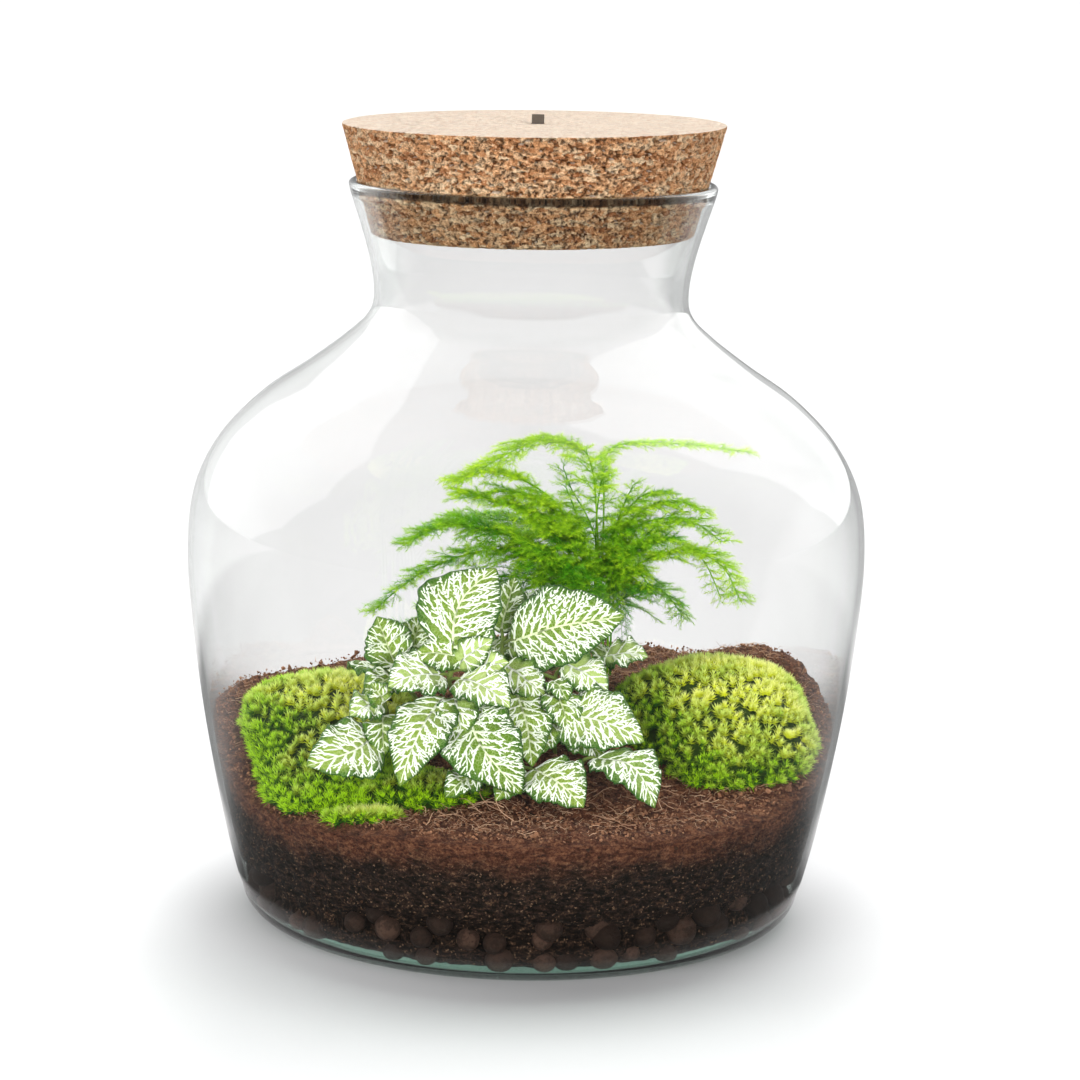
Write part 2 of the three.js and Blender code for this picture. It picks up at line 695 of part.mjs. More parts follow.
function isClear(line, frond) {
  const spot = new THREE.Vector3();
  const points = FERN_CLEARANCE_TRIED_AT.map((share) => line.at(share, new THREE.Vector3()));
  return laid.every((other) => {
    if (other.frond === frond) {
      return true;
    }
    return points.every((point) => {
      other.line.closestPointToPoint(point, true, spot);
      return spot.distanceTo(point) > FERN_CLEARANCE;
    });
  });
}

// A slim branch along a line, with a whorl of six needles raised round it at even steps
function fernBranch(line, frond, draw) {
  const length = line.distance();
  const whorls = Math.max(1, Math.round(length / WHORL_SPACING));
  const core = new THREE.CylinderGeometry(BRANCH_RADIUS, BRANCH_RADIUS, 1, FERN_SIDES, 2 * whorls);
  const corner = core.attributes.position;
  for (let i = 0; i < corner.count; i += 1) {
    const ring = Math.round((corner.getY(i) + 0.5) * 2 * whorls);
    const top = (Math.ceil(ring / 2) / whorls) * length;
    corner.setY(i, top - (ring % 2 ? WHORL_WIDTH : 0));
  }
  const heading = line.delta(new THREE.Vector3()).normalize();
  const turn = new THREE.Quaternion().setFromUnitVectors(new THREE.Vector3(0, 1, 0), heading);
  const place = new THREE.Matrix4().compose(line.start, turn, new THREE.Vector3(1, 1, 1));
  const needles = [];
  const needled = raised(core, (facet) => {
    const heights = [facet.a.y, facet.b.y, facet.c.y];
    const height = Math.max(...heights) - Math.min(...heights);
    if (height < WHORL_WIDTH / 2 || height > 1.5 * WHORL_WIDTH) {
      return null;
    }
    const middle = facet.getMidpoint(new THREE.Vector3());
    const outward = new THREE.Vector3(middle.x, 0, middle.z).normalize();
    outward.y = draw(...NEEDLE_LEAN);
    const peak = middle.clone().addScaledVector(outward.normalize(), draw(...NEEDLE_LENGTH));
    const needle = new THREE.Line3(middle, peak.clone()).applyMatrix4(place);
    if (!isClear(needle, frond)) {
      return null;
    }
    needles.push(needle);
    return peak;
  });
  return { solid: toSolid(needled.applyMatrix4(place)), needles };
}

function fernFrond(frond, seed) {
  const draw = seededDraw(seed);
  const pieces = [toSolid(tube(planted(frond.route), FERN_RADIUS, FERN_SIDES, FERN_STEPS))];
  const firstRing = Math.ceil(frond.bare * FERN_STEPS);
  const rings = frondCurve(frond).getSpacedPoints(FERN_STEPS);
  for (let ring = firstRing; ring <= FERN_STEPS; ring += 1) {
    const isTip = ring === FERN_STEPS;
    const root = isTip ? rings[ring] : rings[ring].clone().lerp(rings[ring + 1], 0.5);
    const forward = rings[ring].clone().sub(rings[ring - 1]).normalize();
    const side = new THREE.Vector3(forward.y, -forward.x, 0).normalize();
    const share = (ring - firstRing) / (FERN_STEPS - firstRing + 1);
    const hands = isTip ? [0] : [-1, 1];
    hands.forEach((hand) => {
      const heading = forward.clone().multiplyScalar(draw(...BRANCH_FORWARD)).addScaledVector(side, hand);
      heading.z = heading.z / 2 + draw(...BRANCH_LIFT);
      const reach = frond.spread * (1 - share) ** PLUME_TAPER * draw(...BRANCH_REACH);
      const line = new THREE.Line3(root, root.clone().addScaledVector(heading.normalize(), reach));
      if (!isClear(line, frond)) {
        return;
      }
      const branch = fernBranch(line, frond, draw);
      pieces.push(branch.solid);
      [line, ...branch.needles].forEach((laidLine) => laid.push({ line: laidLine, frond }));
    });
  }
  return toGeometry(joined(pieces));
}

function feetOf(plants, radius) {
  return plants.map(({ route }) => ({ x: route[0][0], y: route[0][1], radius: radius + HOLE_CLEARANCE }));
}

const soil = pottingSoil([...feetOf(NERVE_STEMS, STEM_RADIUS), ...feetOf(FERN_FRONDS, FERN_RADIUS)]);

const glass = finish("#dfeae6", 0.05);
glass.transparent = true;
glass.opacity = 0.3;

const terrarium = new THREE.Group();
terrarium.add(named("glass_jar", glassJar(), glass));
terrarium.add(named("cork_stopper", corkStopper(), finish("#c49468", 0.9)));
terrarium.add(named("lid_pull_tab", pullTab(), finish("#4f463f", 0.7)));
terrarium.add(named("clay_pebble_bed", pebbleBed(), finish("#4a3428", 0.85)));
terrarium.add(named("potting_soil", toGeometry(soil), finish("#4b2f22", 0.95)));
MOSS_CUSHIONS.forEach((cushion) => {
  terrarium.add(named(cushion.name, mossCushion(cushion, soil), finish("#8fae1f", 0.85)));
});
NERVE_STEMS.forEach((stem) => {
  terrarium.add(named(stem.name, nerveStem(stem), finish("#9dbb72", 0.5)));
});
FERN_FRONDS.forEach((frond, i) => {
  terrarium.add(named(frond.name, fernFrond(frond, FERN_SEED + i), finish("#6cb521", 0.6)));
});

export default terrarium;
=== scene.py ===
"""A corked glass jar planted with a nerve plant, an asparagus fern and star moss. Metres, +Z up."""
import math
import random

import bpy
import numpy as np
from mathutils import Euler, Matrix, Vector, noise


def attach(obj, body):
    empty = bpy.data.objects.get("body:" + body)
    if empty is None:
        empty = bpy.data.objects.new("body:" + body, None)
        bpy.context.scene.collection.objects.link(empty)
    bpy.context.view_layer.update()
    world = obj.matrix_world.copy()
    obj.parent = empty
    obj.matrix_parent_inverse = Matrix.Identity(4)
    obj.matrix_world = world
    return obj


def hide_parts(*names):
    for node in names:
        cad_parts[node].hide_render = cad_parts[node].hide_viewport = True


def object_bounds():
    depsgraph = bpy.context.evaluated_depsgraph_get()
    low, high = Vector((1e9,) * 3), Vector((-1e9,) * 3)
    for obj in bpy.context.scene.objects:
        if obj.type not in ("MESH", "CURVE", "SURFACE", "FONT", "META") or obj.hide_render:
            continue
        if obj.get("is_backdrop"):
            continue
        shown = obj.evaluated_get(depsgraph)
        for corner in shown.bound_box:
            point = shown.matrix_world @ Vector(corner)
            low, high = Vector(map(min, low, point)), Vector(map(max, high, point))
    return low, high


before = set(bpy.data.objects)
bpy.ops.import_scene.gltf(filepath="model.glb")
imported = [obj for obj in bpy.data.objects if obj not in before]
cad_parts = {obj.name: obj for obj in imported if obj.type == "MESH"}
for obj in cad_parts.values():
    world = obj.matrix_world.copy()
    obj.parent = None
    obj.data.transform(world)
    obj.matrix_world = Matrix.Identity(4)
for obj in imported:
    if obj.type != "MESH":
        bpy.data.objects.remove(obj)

MM = 0.001
CAD_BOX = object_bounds()

# Sizes are in millimetres here, and in metres in the finishes and the studio

# The jar: the same outline as its solid, smoother. Its heel is an arc outside and one inside, each with
# the radius that its middle lies at and its own size, and its rim is a bead.
GLASS_WALL, GLASS_FLOOR = 2.1, 2.6
HEEL_RADIUS, HEEL_INNER = 97.7, 8.5
HEEL_OUTSIDE = 96, 11.2
RIM_BEAD = 67.05, 276.5, 1.65
JAR_STEPS = 140
JAR_FOOT = [(0, 1.6), (30, 1.6), (57, 1.6), (58.2, 1.2), (59.2, 0.4), (60.5, 0), (78, 0)]
JAR_OUTLINE = [
    (109, 15), (115, 40), (121.8, 78), (126, 110), (128, 138), (125.6, 162), (116.4, 181),
    (101, 197), (83.6, 209), (69, 220), (60.6, 228.5), (58.9, 238), (61.6, 253), (68, 273.5),
]
# The gap between a piece and what carries it
CLEARANCE = 0.3

# The stopper and its tab
CORK_FOOT, CORK_TOP = 259.2, 299.8
CORK_FOOT_RADIUS, CORK_TOP_RADIUS = 60.1, 71.4
CORK_LEAN = 0.010
CORK_STEPS = 720
FLAKE_SIZE, PIT_DEPTH = 1.8, 1.2
TAB_X, TAB_Y, TAB_WIDTH, TAB_LEATHER, TAB_FOLD_GAP, TAB_PROUD, TAB_SUNK = 1.2, -4, 4.6, 1.6, 0.5, 5.2, 8

# The ground in the jar
BED_BOTTOM, BED_TOP = 2.9, 25.6
BED_OUTLINE = [
    (0, BED_BOTTOM), (60, BED_BOTTOM), (94, BED_BOTTOM), (98.5, 4.0), (101, 6.2), (102.2, 9.8), (102.6, 13),
    (103, 17), (104, 20), (105.6, 23), (107.5, BED_TOP), (60, BED_TOP), (0, BED_TOP),
]
# Each ring of pebbles: its height, its radius and how many
PEBBLE_RINGS = [(7.8, 99.5, 50), (16.4, 101.5, 46), (22, 99, 30)]
SOIL_FRONT, SOIL_RISE, SOIL_SLOPE_FROM, SOIL_SLOPE_TO = 56.5, 21.5, -80, 5
# Each mound or hollow: its middle, its radius and its rise
SOIL_MOUNDS = [(6, 10, 42, 6), (92, 50, 28, 12), (-92, -72, 34, -3.5), (-72, 72, 44, -5)]
CRUMBS, CRUMBS_AT_GLASS, FIBRES = 7400, 1500, 3600
# Moss reaches under the soil, its dark bed lies inside its shoots, and each shoot covers an area
MOSS_ROOT, MOSS_INSET, SHOOT_AREA = 5, 2.6, 4.8
GOLDEN_TURN = 2.39996
# Each cushion: its middle, its reach to the side and to the back, its height and its seed
MOSS_CUSHIONS = [
    ("moss_cushion_right", 75, -13, 38, 43, 21, 11),
    ("moss_cushion_left", -74, -21, 31, 54, 12, 12),
    ("moss_tuft_front", -57, -85, 15, 8, 5, 13),
    ("moss_fringe_left", -40, -63, 27, 14, 7, 14),
]
MOSS_FRINGE = "moss_fringe_left"
PLANTING_DEPTH = 6

# The nerve plant. Each round of forks on its veins has a gap between two, and a width at root and tip.
LEAF_COLUMNS, LEAF_ROWS, LEAF_THICKNESS = 22, 34, 0.45
VEIN_STEP = 0.55
VEIN_FORKS = [(1.85, 0.8, 0.5), (2.5, 0.6, 0.44)]
# Each stem: its route, and for each leaf where it grows on the stem, its base, its tip, its width, the way
# its upper side looks, its arch, bow and fold, and how white it is
NERVE_STEMS = {
    "nerve_stem_crown": ([(-19, -44), (-20, -45, 84), (-27, -45, 96), (-27, -44, 102)], [
        (1, (-26, -42, 105), (-11, -34, 138), 30, (0.1, -1, 0.3), 0.1, -0.18, 0.1, 0.45),
        (0.94, (-30, -47, 100), (-49, -58, 99), 24, (-0.2, -0.6, 0.8), 0.12, 0, 0.1, 0.8),
        (0.9, (-24, -48, 99), (-5, -65, 94), 20, (0.1, -0.7, 0.8), 0.14, 0, 0.1, 0.9),
        (0.72, (-20, -53, 90), (0, -77, 65), 28, (0.1, -0.8, 0.5), 0.16, 0.13, 0.08, 0.5),
        (0.7, (-29, -52, 93), (-44, -76, 67), 22, (-0.2, -0.8, 0.5), 0.16, 0, 0.08, 0.6),
        (0.98, (-18, -45, 101), (-6, -53, 107), 13, (0.1, -0.8, 0.6), 0.12, 0, 0.12, 0.9),
        (0.8, (-25, -52, 93), (-22, -67, 82), 15, (0, -0.8, 0.5), 0.14, 0, 0.1, 0.7),
        (0.6, (-12, -54, 82), (-12, -71, 66), 15, (0, -0.8, 0.4), 0.14, 0, 0.1, 0.3),
        (0.92, (-25, -43, 103), (-12, -47, 114), 12, (0.1, -0.9, 0.5), 0.1, 0, 0.1, 0.9),
        (0.9, (-23, -42, 106), (-40, -46, 108), 13, (-0.1, -0.8, 0.6), 0.1, 0, 0.1, 0.4),
    ]),
    "nerve_stem_middle": ([(-3, -31), (-4, -31, 92), (-8, -31, 104), (-8, -30, 110)], [
        (0.96, (-5, -33, 110), (36, -42, 123), 29, (0.1, -0.9, 0.5), 0.12, 0, 0.08, 0.4),
        (1, (-9, -27, 112), (-4, -20, 132), 14, (-0.1, -1, 0.3), 0.08, 0, 0.14, 0.3),
        (0.98, (-4, -25, 113), (26, -13, 123), 20, (0, -0.5, 0.9), 0.12, 0, 0.1, 0.5),
        (0.6, (-3, -43, 94), (4, -65, 72), 19, (0.2, -0.8, 0.5), 0.12, 0, 0.1, 0.45),
        (0.8, (-11, -25, 101), (-26, 6, 96), 25, (-0.2, 0.4, 0.9), 0.14, 0, 0.08, 0.5),
        (0.6, (-1, -24, 96), (11, 6, 92), 24, (0.2, 0.4, 0.9), 0.14, 0, 0.08, 0.5),
        (0.9, (-6, -32, 107), (8, -36, 113), 14, (0.1, -0.8, 0.6), 0.12, 0, 0.1, 0.3),
    ]),
    "nerve_stem_left": ([(-41, -46), (-44, -47, 78), (-49, -50, 82), (-50, -51, 88)], [
        (0.6, (-54, -57, 80), (-77, -74, 73), 25, (-0.3, -1, 0.6), 0.14, -0.16, 0.08, 0.6),
        (0.95, (-52, -51, 90), (-63, -57, 87), 16, (-0.3, -0.6, 0.8), 0.1, 0, 0.12, 0.8),
        (1, (-51, -53, 91), (-55, -57, 99), 10, (0.2, -1, 0.5), 0.06, 0, 0.2, 0.2),
        (0.85, (-51, -53, 86), (-50, -66, 75), 14, (-0.1, -0.9, 0.4), 0.14, 0, 0.14, 0.2),
    ]),
    "nerve_stem_left_rear": ([(-36, -33), (-38, -33, 84), (-44, -34, 94), (-45, -34, 99)], [
        (1, (-47, -37, 101), (-54, -41, 120), 18, (0.3, -1, 0.2), -0.1, 0, 0.16, 0.1),
        (1, (-43, -32, 103), (-38, -28, 118), 15, (-0.2, -1, 0.2), 0.06, 0, 0.16, 0.2),
        (0.8, (-48, -30, 95), (-63, -6, 93), 22, (-0.3, 0.3, 0.9), 0.14, 0, 0.08, 0.5),
        (0.9, (-46, -38, 97), (-58, -50, 94), 15, (-0.2, -0.7, 0.7), 0.12, 0, 0.1, 0.3),
    ]),
    "nerve_stem_right": ([(12, -38), (11, -38, 82), (11, -37, 92), (12, -36, 99)], [
        (0.45, (12, -45, 85), (44, -59, 81), 27, (0.1, -0.7, 0.7), 0.14, 0, 0.06, 0.65),
        (1, (15, -33, 102), (31, -43, 94), 17, (0.2, -0.7, 0.8), 0.12, 0, 0.08, 0.85),
        (0.85, (11, -40, 97), (16, -51, 93), 10, (0.2, -0.8, 0.6), 0.1, 0, 0.14, 0.2),
        (0.75, (11, -42, 94), (17, -56, 82), 15, (0.3, -0.8, 0.5), 0.14, 0, 0.1, 0.15),
        (0.5, (9, -44, 86), (5, -60, 74), 16, (0, -0.9, 0.4), 0.12, 0, 0.1, 0.2),
        (0.35, (14, -44, 82), (30, -54, 72), 15, (0.3, -0.8, 0.5), 0.12, 0, 0.1, 0.3),
        (0.95, (-7, -40, 103), (8, -47, 93), 14, (0.2, -0.9, 0.4), 0.1, 0, 0.1, 0.7),
    ]),
    "nerve_stem_right_rear": ([(27, -14), (27, -14, 88), (28, -15, 96), (28, -16, 99)], [
        (1, (30, -18, 101), (46, -24, 104), 16, (0.1, -0.5, 0.9), 0.1, 0, 0.1, 0.8),
        (0.9, (29, -12, 99), (38, 8, 96), 18, (0.2, 0.3, 0.9), 0.12, 0, 0.1, 0.5),
    ]),
    "nerve_stem_front": ([(-2, -54), (-2, -55, 65), (-2, -57, 68)], [
        (1, (4, -61, 69), (22, -82, 62), 23, (0.1, -0.7, 0.7), 0.1, 0, 0.06, 0.5),
        (0.9, (-15, -61, 68), (-27, -77, 63), 13, (-0.2, -0.8, 0.6), 0.08, 0, 0.1, 0.4),
        (0.95, (0, -60, 69), (-9, -74, 61), 12, (0, -0.8, 0.6), 0.1, 0, 0.1, 0.2),
    ]),
    "nerve_stem_right_front": ([(21, -53), (21, -54, 68), (23, -57, 72)], [
        (1, (26, -60, 73), (48, -80, 62), 22, (0.3, -0.6, 0.8), 0.16, -0.12, 0.06, 0.6),
    ]),
}

# The fern. The gap between two branches is also that between two sprigs on a branch.
BRANCH_GAP = 1.7
SPRIG_LENGTH, SPRIG_TUFTS, NEEDLE_THICK = 7, 7, 0.115
# Each frond: the bare share of its route, the reach of its branches, how young it is, and its route
FERN_FRONDS = {
    "fern_frond_top_left": (0.52, 22, 0.9, [
        (25, 34), (26, 34, 100), (28, 34, 128), (27, 32, 148), (25, 30, 165),
        (20, 27, 174), (6, 22, 178), (-11, 15, 171), (-25, 10, 163)]),
    "fern_frond_top_right": (0.5, 13, 1.0, [
        (29, 40), (29, 40, 100), (30, 40, 127), (30, 40, 151), (30, 40, 168),
        (38, 40, 174), (59, 41, 174), (85, 44, 171)]),
    "fern_frond_mid_left": (0.42, 20, 0.5, [
        (22, 36), (22, 36, 100), (24, 36, 122), (19, 30, 137), (6, 22, 148), (-12, 14, 155), (-27, 8, 160)]),
    "fern_frond_low_left": (0.34, 19, 0.3, [
        (21, 32), (21, 32, 100), (21, 32, 116), (13, 26, 128),
        (-10, 18, 135), (-33, 12, 130), (-48, 8, 121), (-57, 6, 113)]),
    "fern_frond_rear_left": (0.36, 19, 0.1, [
        (22, 42), (22, 42, 100), (22, 44, 120), (12, 50, 136),
        (-14, 56, 140), (-36, 60, 136), (-49, 62, 127)]),
    "fern_frond_right": (0.38, 18, 0.4, [
        (31, 35), (31, 35, 100), (32, 34, 122), (37, 30, 138), (50, 24, 147), (64, 20, 147), (75, 16, 140)]),
    "fern_frond_low_right": (0.36, 15, 0.8, [
        (33, 40), (33, 40, 100), (34, 41, 118), (40, 43, 131), (54, 44, 136), (69, 42, 128), (77, 38, 113)]),
    "fern_frond_front": (0.46, 15, 0.3, [
        (27, 30), (27, 30, 100), (27, 29, 120), (22, 20, 133), (13, 12, 137), (4, 6, 134), (0, 3, 127)]),
    "fern_frond_rear_up": (0.5, 14, 0.3, [
        (28, 45), (28, 45, 100), (29, 46, 124), (25, 51, 140), (18, 55, 152), (14, 58, 161)]),
    "fern_frond_short_right": (0.5, 9, 0.2, [
        (34, 35), (34, 35, 100), (35, 33, 115), (39, 27, 124), (45, 20, 125), (49, 15, 119)]),
}
# The sprays that fill the plume: the same, but all bare for one short share
SPRAY_BARE = 0.06
FERN_SPRAYS = {
    "fern_spray_left": (28, 0.3, [
        (24, 34, 116), (8, 26, 131), (-12, 20, 142), (-30, 15, 145), (-42, 13, 140)]),
    "fern_spray_left_high": (22, 0.5, [(24, 33, 130), (12, 28, 148), (-6, 24, 157), (-25, 18, 155)]),
    "fern_spray_left_low": (24, 0.1, [
        (22, 32, 110), (6, 24, 121), (-14, 16, 124), (-30, 12, 116), (-44, 10, 104)]),
    "fern_spray_front": (24, 0.2, [(26, 30, 110), (20, 18, 124), (10, 8, 134), (0, 2, 141)]),
    "fern_spray_right_high": (20, 0.6, [(31, 36, 128), (42, 34, 146), (56, 32, 153), (68, 30, 150)]),
    "fern_spray_right": (22, 0.7, [
        (32, 36, 114), (46, 30, 129), (62, 24, 135), (76, 22, 129), (83, 20, 117)]),
    "fern_spray_upright": (20, 0.4, [(28, 36, 118), (27, 34, 140), (28, 32, 156), (30, 32, 166)]),
    "fern_spray_right_low": (20, 0.2, [(32, 32, 108), (42, 22, 118), (52, 14, 121), (60, 10, 113)]),
    "fern_spray_middle": (26, 0.3, [(26, 32, 110), (18, 26, 130), (6, 20, 146), (-2, 18, 152)]),
    "fern_spray_middle_right": (24, 0.3, [(30, 32, 110), (40, 28, 132), (50, 24, 144), (58, 22, 147)]),
    "fern_spray_left_crest": (20, 0.75, [(22, 32, 136), (8, 27, 155), (-10, 20, 165), (-28, 14, 163)]),
    "fern_spray_right_crest": (22, 0.4, [(30, 36, 120), (34, 36, 140), (44, 34, 154), (54, 32, 157)]),
    "fern_spray_right_near": (22, 0.2, [(31, 33, 112), (38, 28, 128), (46, 22, 138), (54, 18, 140)]),
    "fern_spray_upright_left": (18, 0.4, [(27, 34, 120), (21, 32, 142), (15, 30, 158)]),
    "fern_spray_upright_right": (18, 0.5, [(30, 36, 122), (36, 34, 146), (41, 33, 159)]),
    "fern_spray_middle_left": (24, 0.4, [(25, 34, 112), (10, 32, 130), (-8, 28, 140), (-24, 26, 142)]),
}


# Lines and heights

def smooth_line(points, steps):
    """A line through points, with steps between each two of them."""
    points = np.array(points, float)
    line = []
    for i in range(len(points) - 1):
        before, here = points[max(i - 1, 0)], points[i]
        there, after = points[i + 1], points[min(i + 2, len(points) - 1)]
        for t in np.arange(steps) / steps:
            line.append(0.5 * (2 * here + (there - before) * t
                               + (2 * before - 5 * here + 4 * there - after) * t * t
                               + (3 * here - before - 3 * there + after) * t ** 3))
    line.append(points[-1])
    return np.array(line)


def even_line(points, count):
    """count points at even steps along a line of points."""
    gaps = np.linalg.norm(np.diff(points, axis=0), axis=1)
    travel = np.concatenate([[0], np.cumsum(gaps)])
    at = np.linspace(0, travel[-1], count)
    return np.stack([np.interp(at, travel, points[:, k]) for k in range(points.shape[1])], axis=1)


def arc(radius, height, size, start, end, steps):
    angles = np.linspace(start, end, steps + 1)
    return [(radius + size * math.cos(a), height + size * math.sin(a)) for a in angles]


OUTER_WALL = smooth_line(JAR_OUTLINE, 6)
slopes = np.gradient(OUTER_WALL, axis=0)
slopes /= np.linalg.norm(slopes, axis=1)[:, None]
INNER_WALL = OUTER_WALL + GLASS_WALL * np.stack([-slopes[:, 1], slopes[:, 0]], axis=1)


def inside_radius(height):
    return np.interp(height, INNER_WALL[:, 1], INNER_WALL[:, 0])


def smoothstep(x, low, high):
    t = np.clip((np.asarray(x, float) - low) / (high - low), 0, 1)
    return t * t * (3 - 2 * t)


def soil_height(x, y):
    height = SOIL_FRONT + SOIL_RISE * smoothstep(y, SOIL_SLOPE_FROM, SOIL_SLOPE_TO)
    for mound_x, mound_y, radius, rise in SOIL_MOUNDS:
        height = height + rise * np.exp(-((x - mound_x) ** 2 + (y - mound_y) ** 2) / radius ** 2)
    return height


def planted(route):
    """The foot of a route goes under the soil, and its next point stands above it."""
    x, y = route[0]
    surface = float(soil_height(x, y))
    return [(x, y, surface - PLANTING_DEPTH + CLEARANCE), (x, y, surface + 2)] + list(route[1:])


# Modelling

def set_out(name, data):
    """An object of this mesh, curve, lamp or camera, in the scene."""
    thing = bpy.data.objects.new(name, data)
    bpy.context.scene.collection.objects.link(thing)
    return thing


def bare_selection():
    if bpy.context.object and bpy.context.object.mode != "OBJECT":
        bpy.ops.object.mode_set(mode="OBJECT")
    bpy.ops.object.select_all(action="DESELECT")


def take(piece):
    bare_selection()
    piece.select_set(True)
    bpy.context.view_layer.objects.active = piece
    return piece


def called(name):
    piece = bpy.context.object
    piece.name = piece.data.name = name
    return piece


def clean_shell(gap):
    """Merges what lies within a gap in millimetres, turns the faces outwards and leaves edit mode."""
    bpy.ops.mesh.select_all(action="SELECT")
    bpy.ops.mesh.remove_doubles(threshold=gap * MM)
    bpy.ops.mesh.normals_make_consistent(inside=False)
    bpy.ops.object.mode_set(mode="OBJECT")


def started(name, primitive, **settings):
    """A new piece that starts as a primitive, with nothing else selected."""
    bare_selection()
    primitive(**settings)
    return called(name)


def spike(name, thick, thin, length, place, turn=(0, 0, 0)):
    """A three-sided leaf or needle with open ends, in millimetres, with its middle at a place in metres."""
    return started(name, bpy.ops.mesh.primitive_cone_add, vertices=3, radius1=thick * MM, radius2=thin * MM,
                   depth=length * MM, end_fill_type="NOTHING", location=place, rotation=turn)


def settle(piece):
    """Puts the piece's place, turn and size into its mesh."""
    take(piece)
    bpy.ops.object.transform_apply(location=True, rotation=True, scale=True)
    return piece


def joined(name, pieces):
    bare_selection()
    for piece in pieces:
        piece.select_set(True)
    bpy.context.view_layer.objects.active = pieces[0]
    bpy.ops.object.join()
    return called(name)


def modified(piece, kind, **settings):
    """Adds a modifier with these settings and applies it."""
    take(piece)
    modifier = piece.modifiers.new(kind.lower(), kind)
    for key, value in settings.items():
        setattr(modifier, key, value)
    bpy.ops.object.modifier_apply(modifier=modifier.name)
    return piece


TURN_PARTS = 20


def turned(name, outline, steps):
    """An outline of (radius, height) in millimetres, spun through a part of a turn and set round the axis."""
    piece = started(name, bpy.ops.mesh.primitive_plane_add, size=MM)
    bpy.ops.object.mode_set(mode="EDIT")
    bpy.ops.mesh.merge(type="CENTER")
    bpy.ops.transform.translate(value=(outline[0][0] * MM, 0, outline[0][1] * MM))
    for (r0, z0), (r1, z1) in zip(outline, outline[1:]):
        move = {"value": ((r1 - r0) * MM, 0, (z1 - z0) * MM)}
        bpy.ops.mesh.extrude_region_move(TRANSFORM_OT_translate=move)
    bpy.ops.mesh.select_all(action="SELECT")
    part = 2 * math.pi / TURN_PARTS
    bpy.ops.mesh.spin(steps=steps // TURN_PARTS, angle=part, center=(0, 0, 0), axis=(0, 0, 1))
    bpy.ops.object.mode_set(mode="OBJECT")
    turner = set_out("turner", None)
    turner.rotation_euler.z = part
    bpy.context.view_layer.update()
    modified(piece, "ARRAY", count=TURN_PARTS, use_relative_offset=False, use_object_offset=True,
             offset_object=turner)
    bpy.data.objects.remove(turner)
    take(piece)
    bpy.ops.object.mode_set(mode="EDIT")
    clean_shell(0.01)
    bpy.ops.object.shade_smooth()
    return piece


def corners_of(piece):
    """The piece's vertices in millimetres, as rows."""
    flat = np.zeros(len(piece.data.vertices) * 3, np.float32)
    piece.data.vertices.foreach_get("co", flat)
    return flat.reshape(-1, 3).astype(float) / MM


def set_corners(piece, corners):
    piece.data.vertices.foreach_set("co", (np.asarray(corners) * MM).astype(np.float32).ravel())
    piece.data.update()


def turn_of(corners):
    """Each corner's angle round the jar's axis."""
    return np.arctan2(corners[:, 1], corners[:, 0])


def grain(points, size, octaves=3):
    """Noise from -1 to 1 at each point, with lumps of that size."""
    return np.array([noise.fractal(Vector(p) / size, 0.8, 2.0, octaves) for p in points])


def add_values(piece, name, values):
    """A number for each vertex, which the finish reads."""
    held = piece.data.attributes.get(name) or piece.data.attributes.new(name, "FLOAT", "POINT")
    held.data.foreach_set("value", np.asarray(values, np.float32))


def model_of(piece):
    """A modelled piece as corners, corner numbers of its faces, their sizes and each corner's rise from
    root to tip. The piece itself goes."""
    corners = corners_of(piece)
    mesh = piece.data
    numbers = np.zeros(len(mesh.loops), np.int32)
    mesh.loops.foreach_get("vertex_index", numbers)
    sizes = np.zeros(len(mesh.polygons), np.int32)
    mesh.polygons.foreach_get("loop_total", sizes)
    bpy.data.objects.remove(piece)
    low, high = corners[:, 2].min(), corners[:, 2].max()
    return corners, numbers, sizes, (corners[:, 2] - low) / (high - low)


def mesh_piece(name, corners, numbers, sizes):
    """A piece from corners in millimetres and its faces' corner numbers, face after face."""
    mesh = bpy.data.meshes.new(name)
    mesh.vertices.add(len(corners))
    mesh.loops.add(len(numbers))
    mesh.polygons.add(len(sizes))
    mesh.vertices.foreach_set("co", (np.asarray(corners) * MM).astype(np.float32).ravel())
    mesh.loops.foreach_set("vertex_index", np.asarray(numbers, np.int32))
    mesh.polygons.foreach_set("loop_start", (np.cumsum(sizes) - sizes).astype(np.int32))
    mesh.update(calc_edges=True)
    mesh.validate()
    return set_out(name, mesh)


def strewn(name, places):
    """Copies of modelled shapes as one piece. A place is (model, 4x4 matrix in millimetres, tone)."""
    corners, numbers, sizes, rises, tones, count = [], [], [], [], [], 0
    for (shape, shape_numbers, shape_sizes, rise), matrix, tone in places:
        corners.append(shape @ matrix[:3, :3].T + matrix[:3, 3])
        numbers.append(shape_numbers + count)
        sizes.append(shape_sizes)
        rises.append(rise)
        tones.append(np.full(len(shape), tone))
        count += len(shape)
    piece = mesh_piece(name, np.concatenate(corners), np.concatenate(numbers), np.concatenate(sizes))
    add_values(piece, "rise", np.concatenate(rises))
    add_values(piece, "tone", np.concatenate(tones))
    return piece


def placed(at, up, size, spin):
    """A matrix that stands a shape at a point, along up, at a size, turned by spin about itself."""
    turn = Vector(up).normalized().to_track_quat("Z", "Y").to_matrix().to_4x4()
    own = Matrix.Rotation(spin, 4, "Z") @ Matrix.Diagonal((*size, 1))
    return np.array(Matrix.Translation(Vector(at)) @ turn @ own)


def tumbled(draw, shapes, at, stretch):
    """A place for one of the shapes, turned any way."""
    shape, up = draw.choice(shapes), [draw.uniform(-1, 1) for _ in range(3)]
    return shape, placed(at, up, stretch, draw.uniform(0, 6)), draw.random()


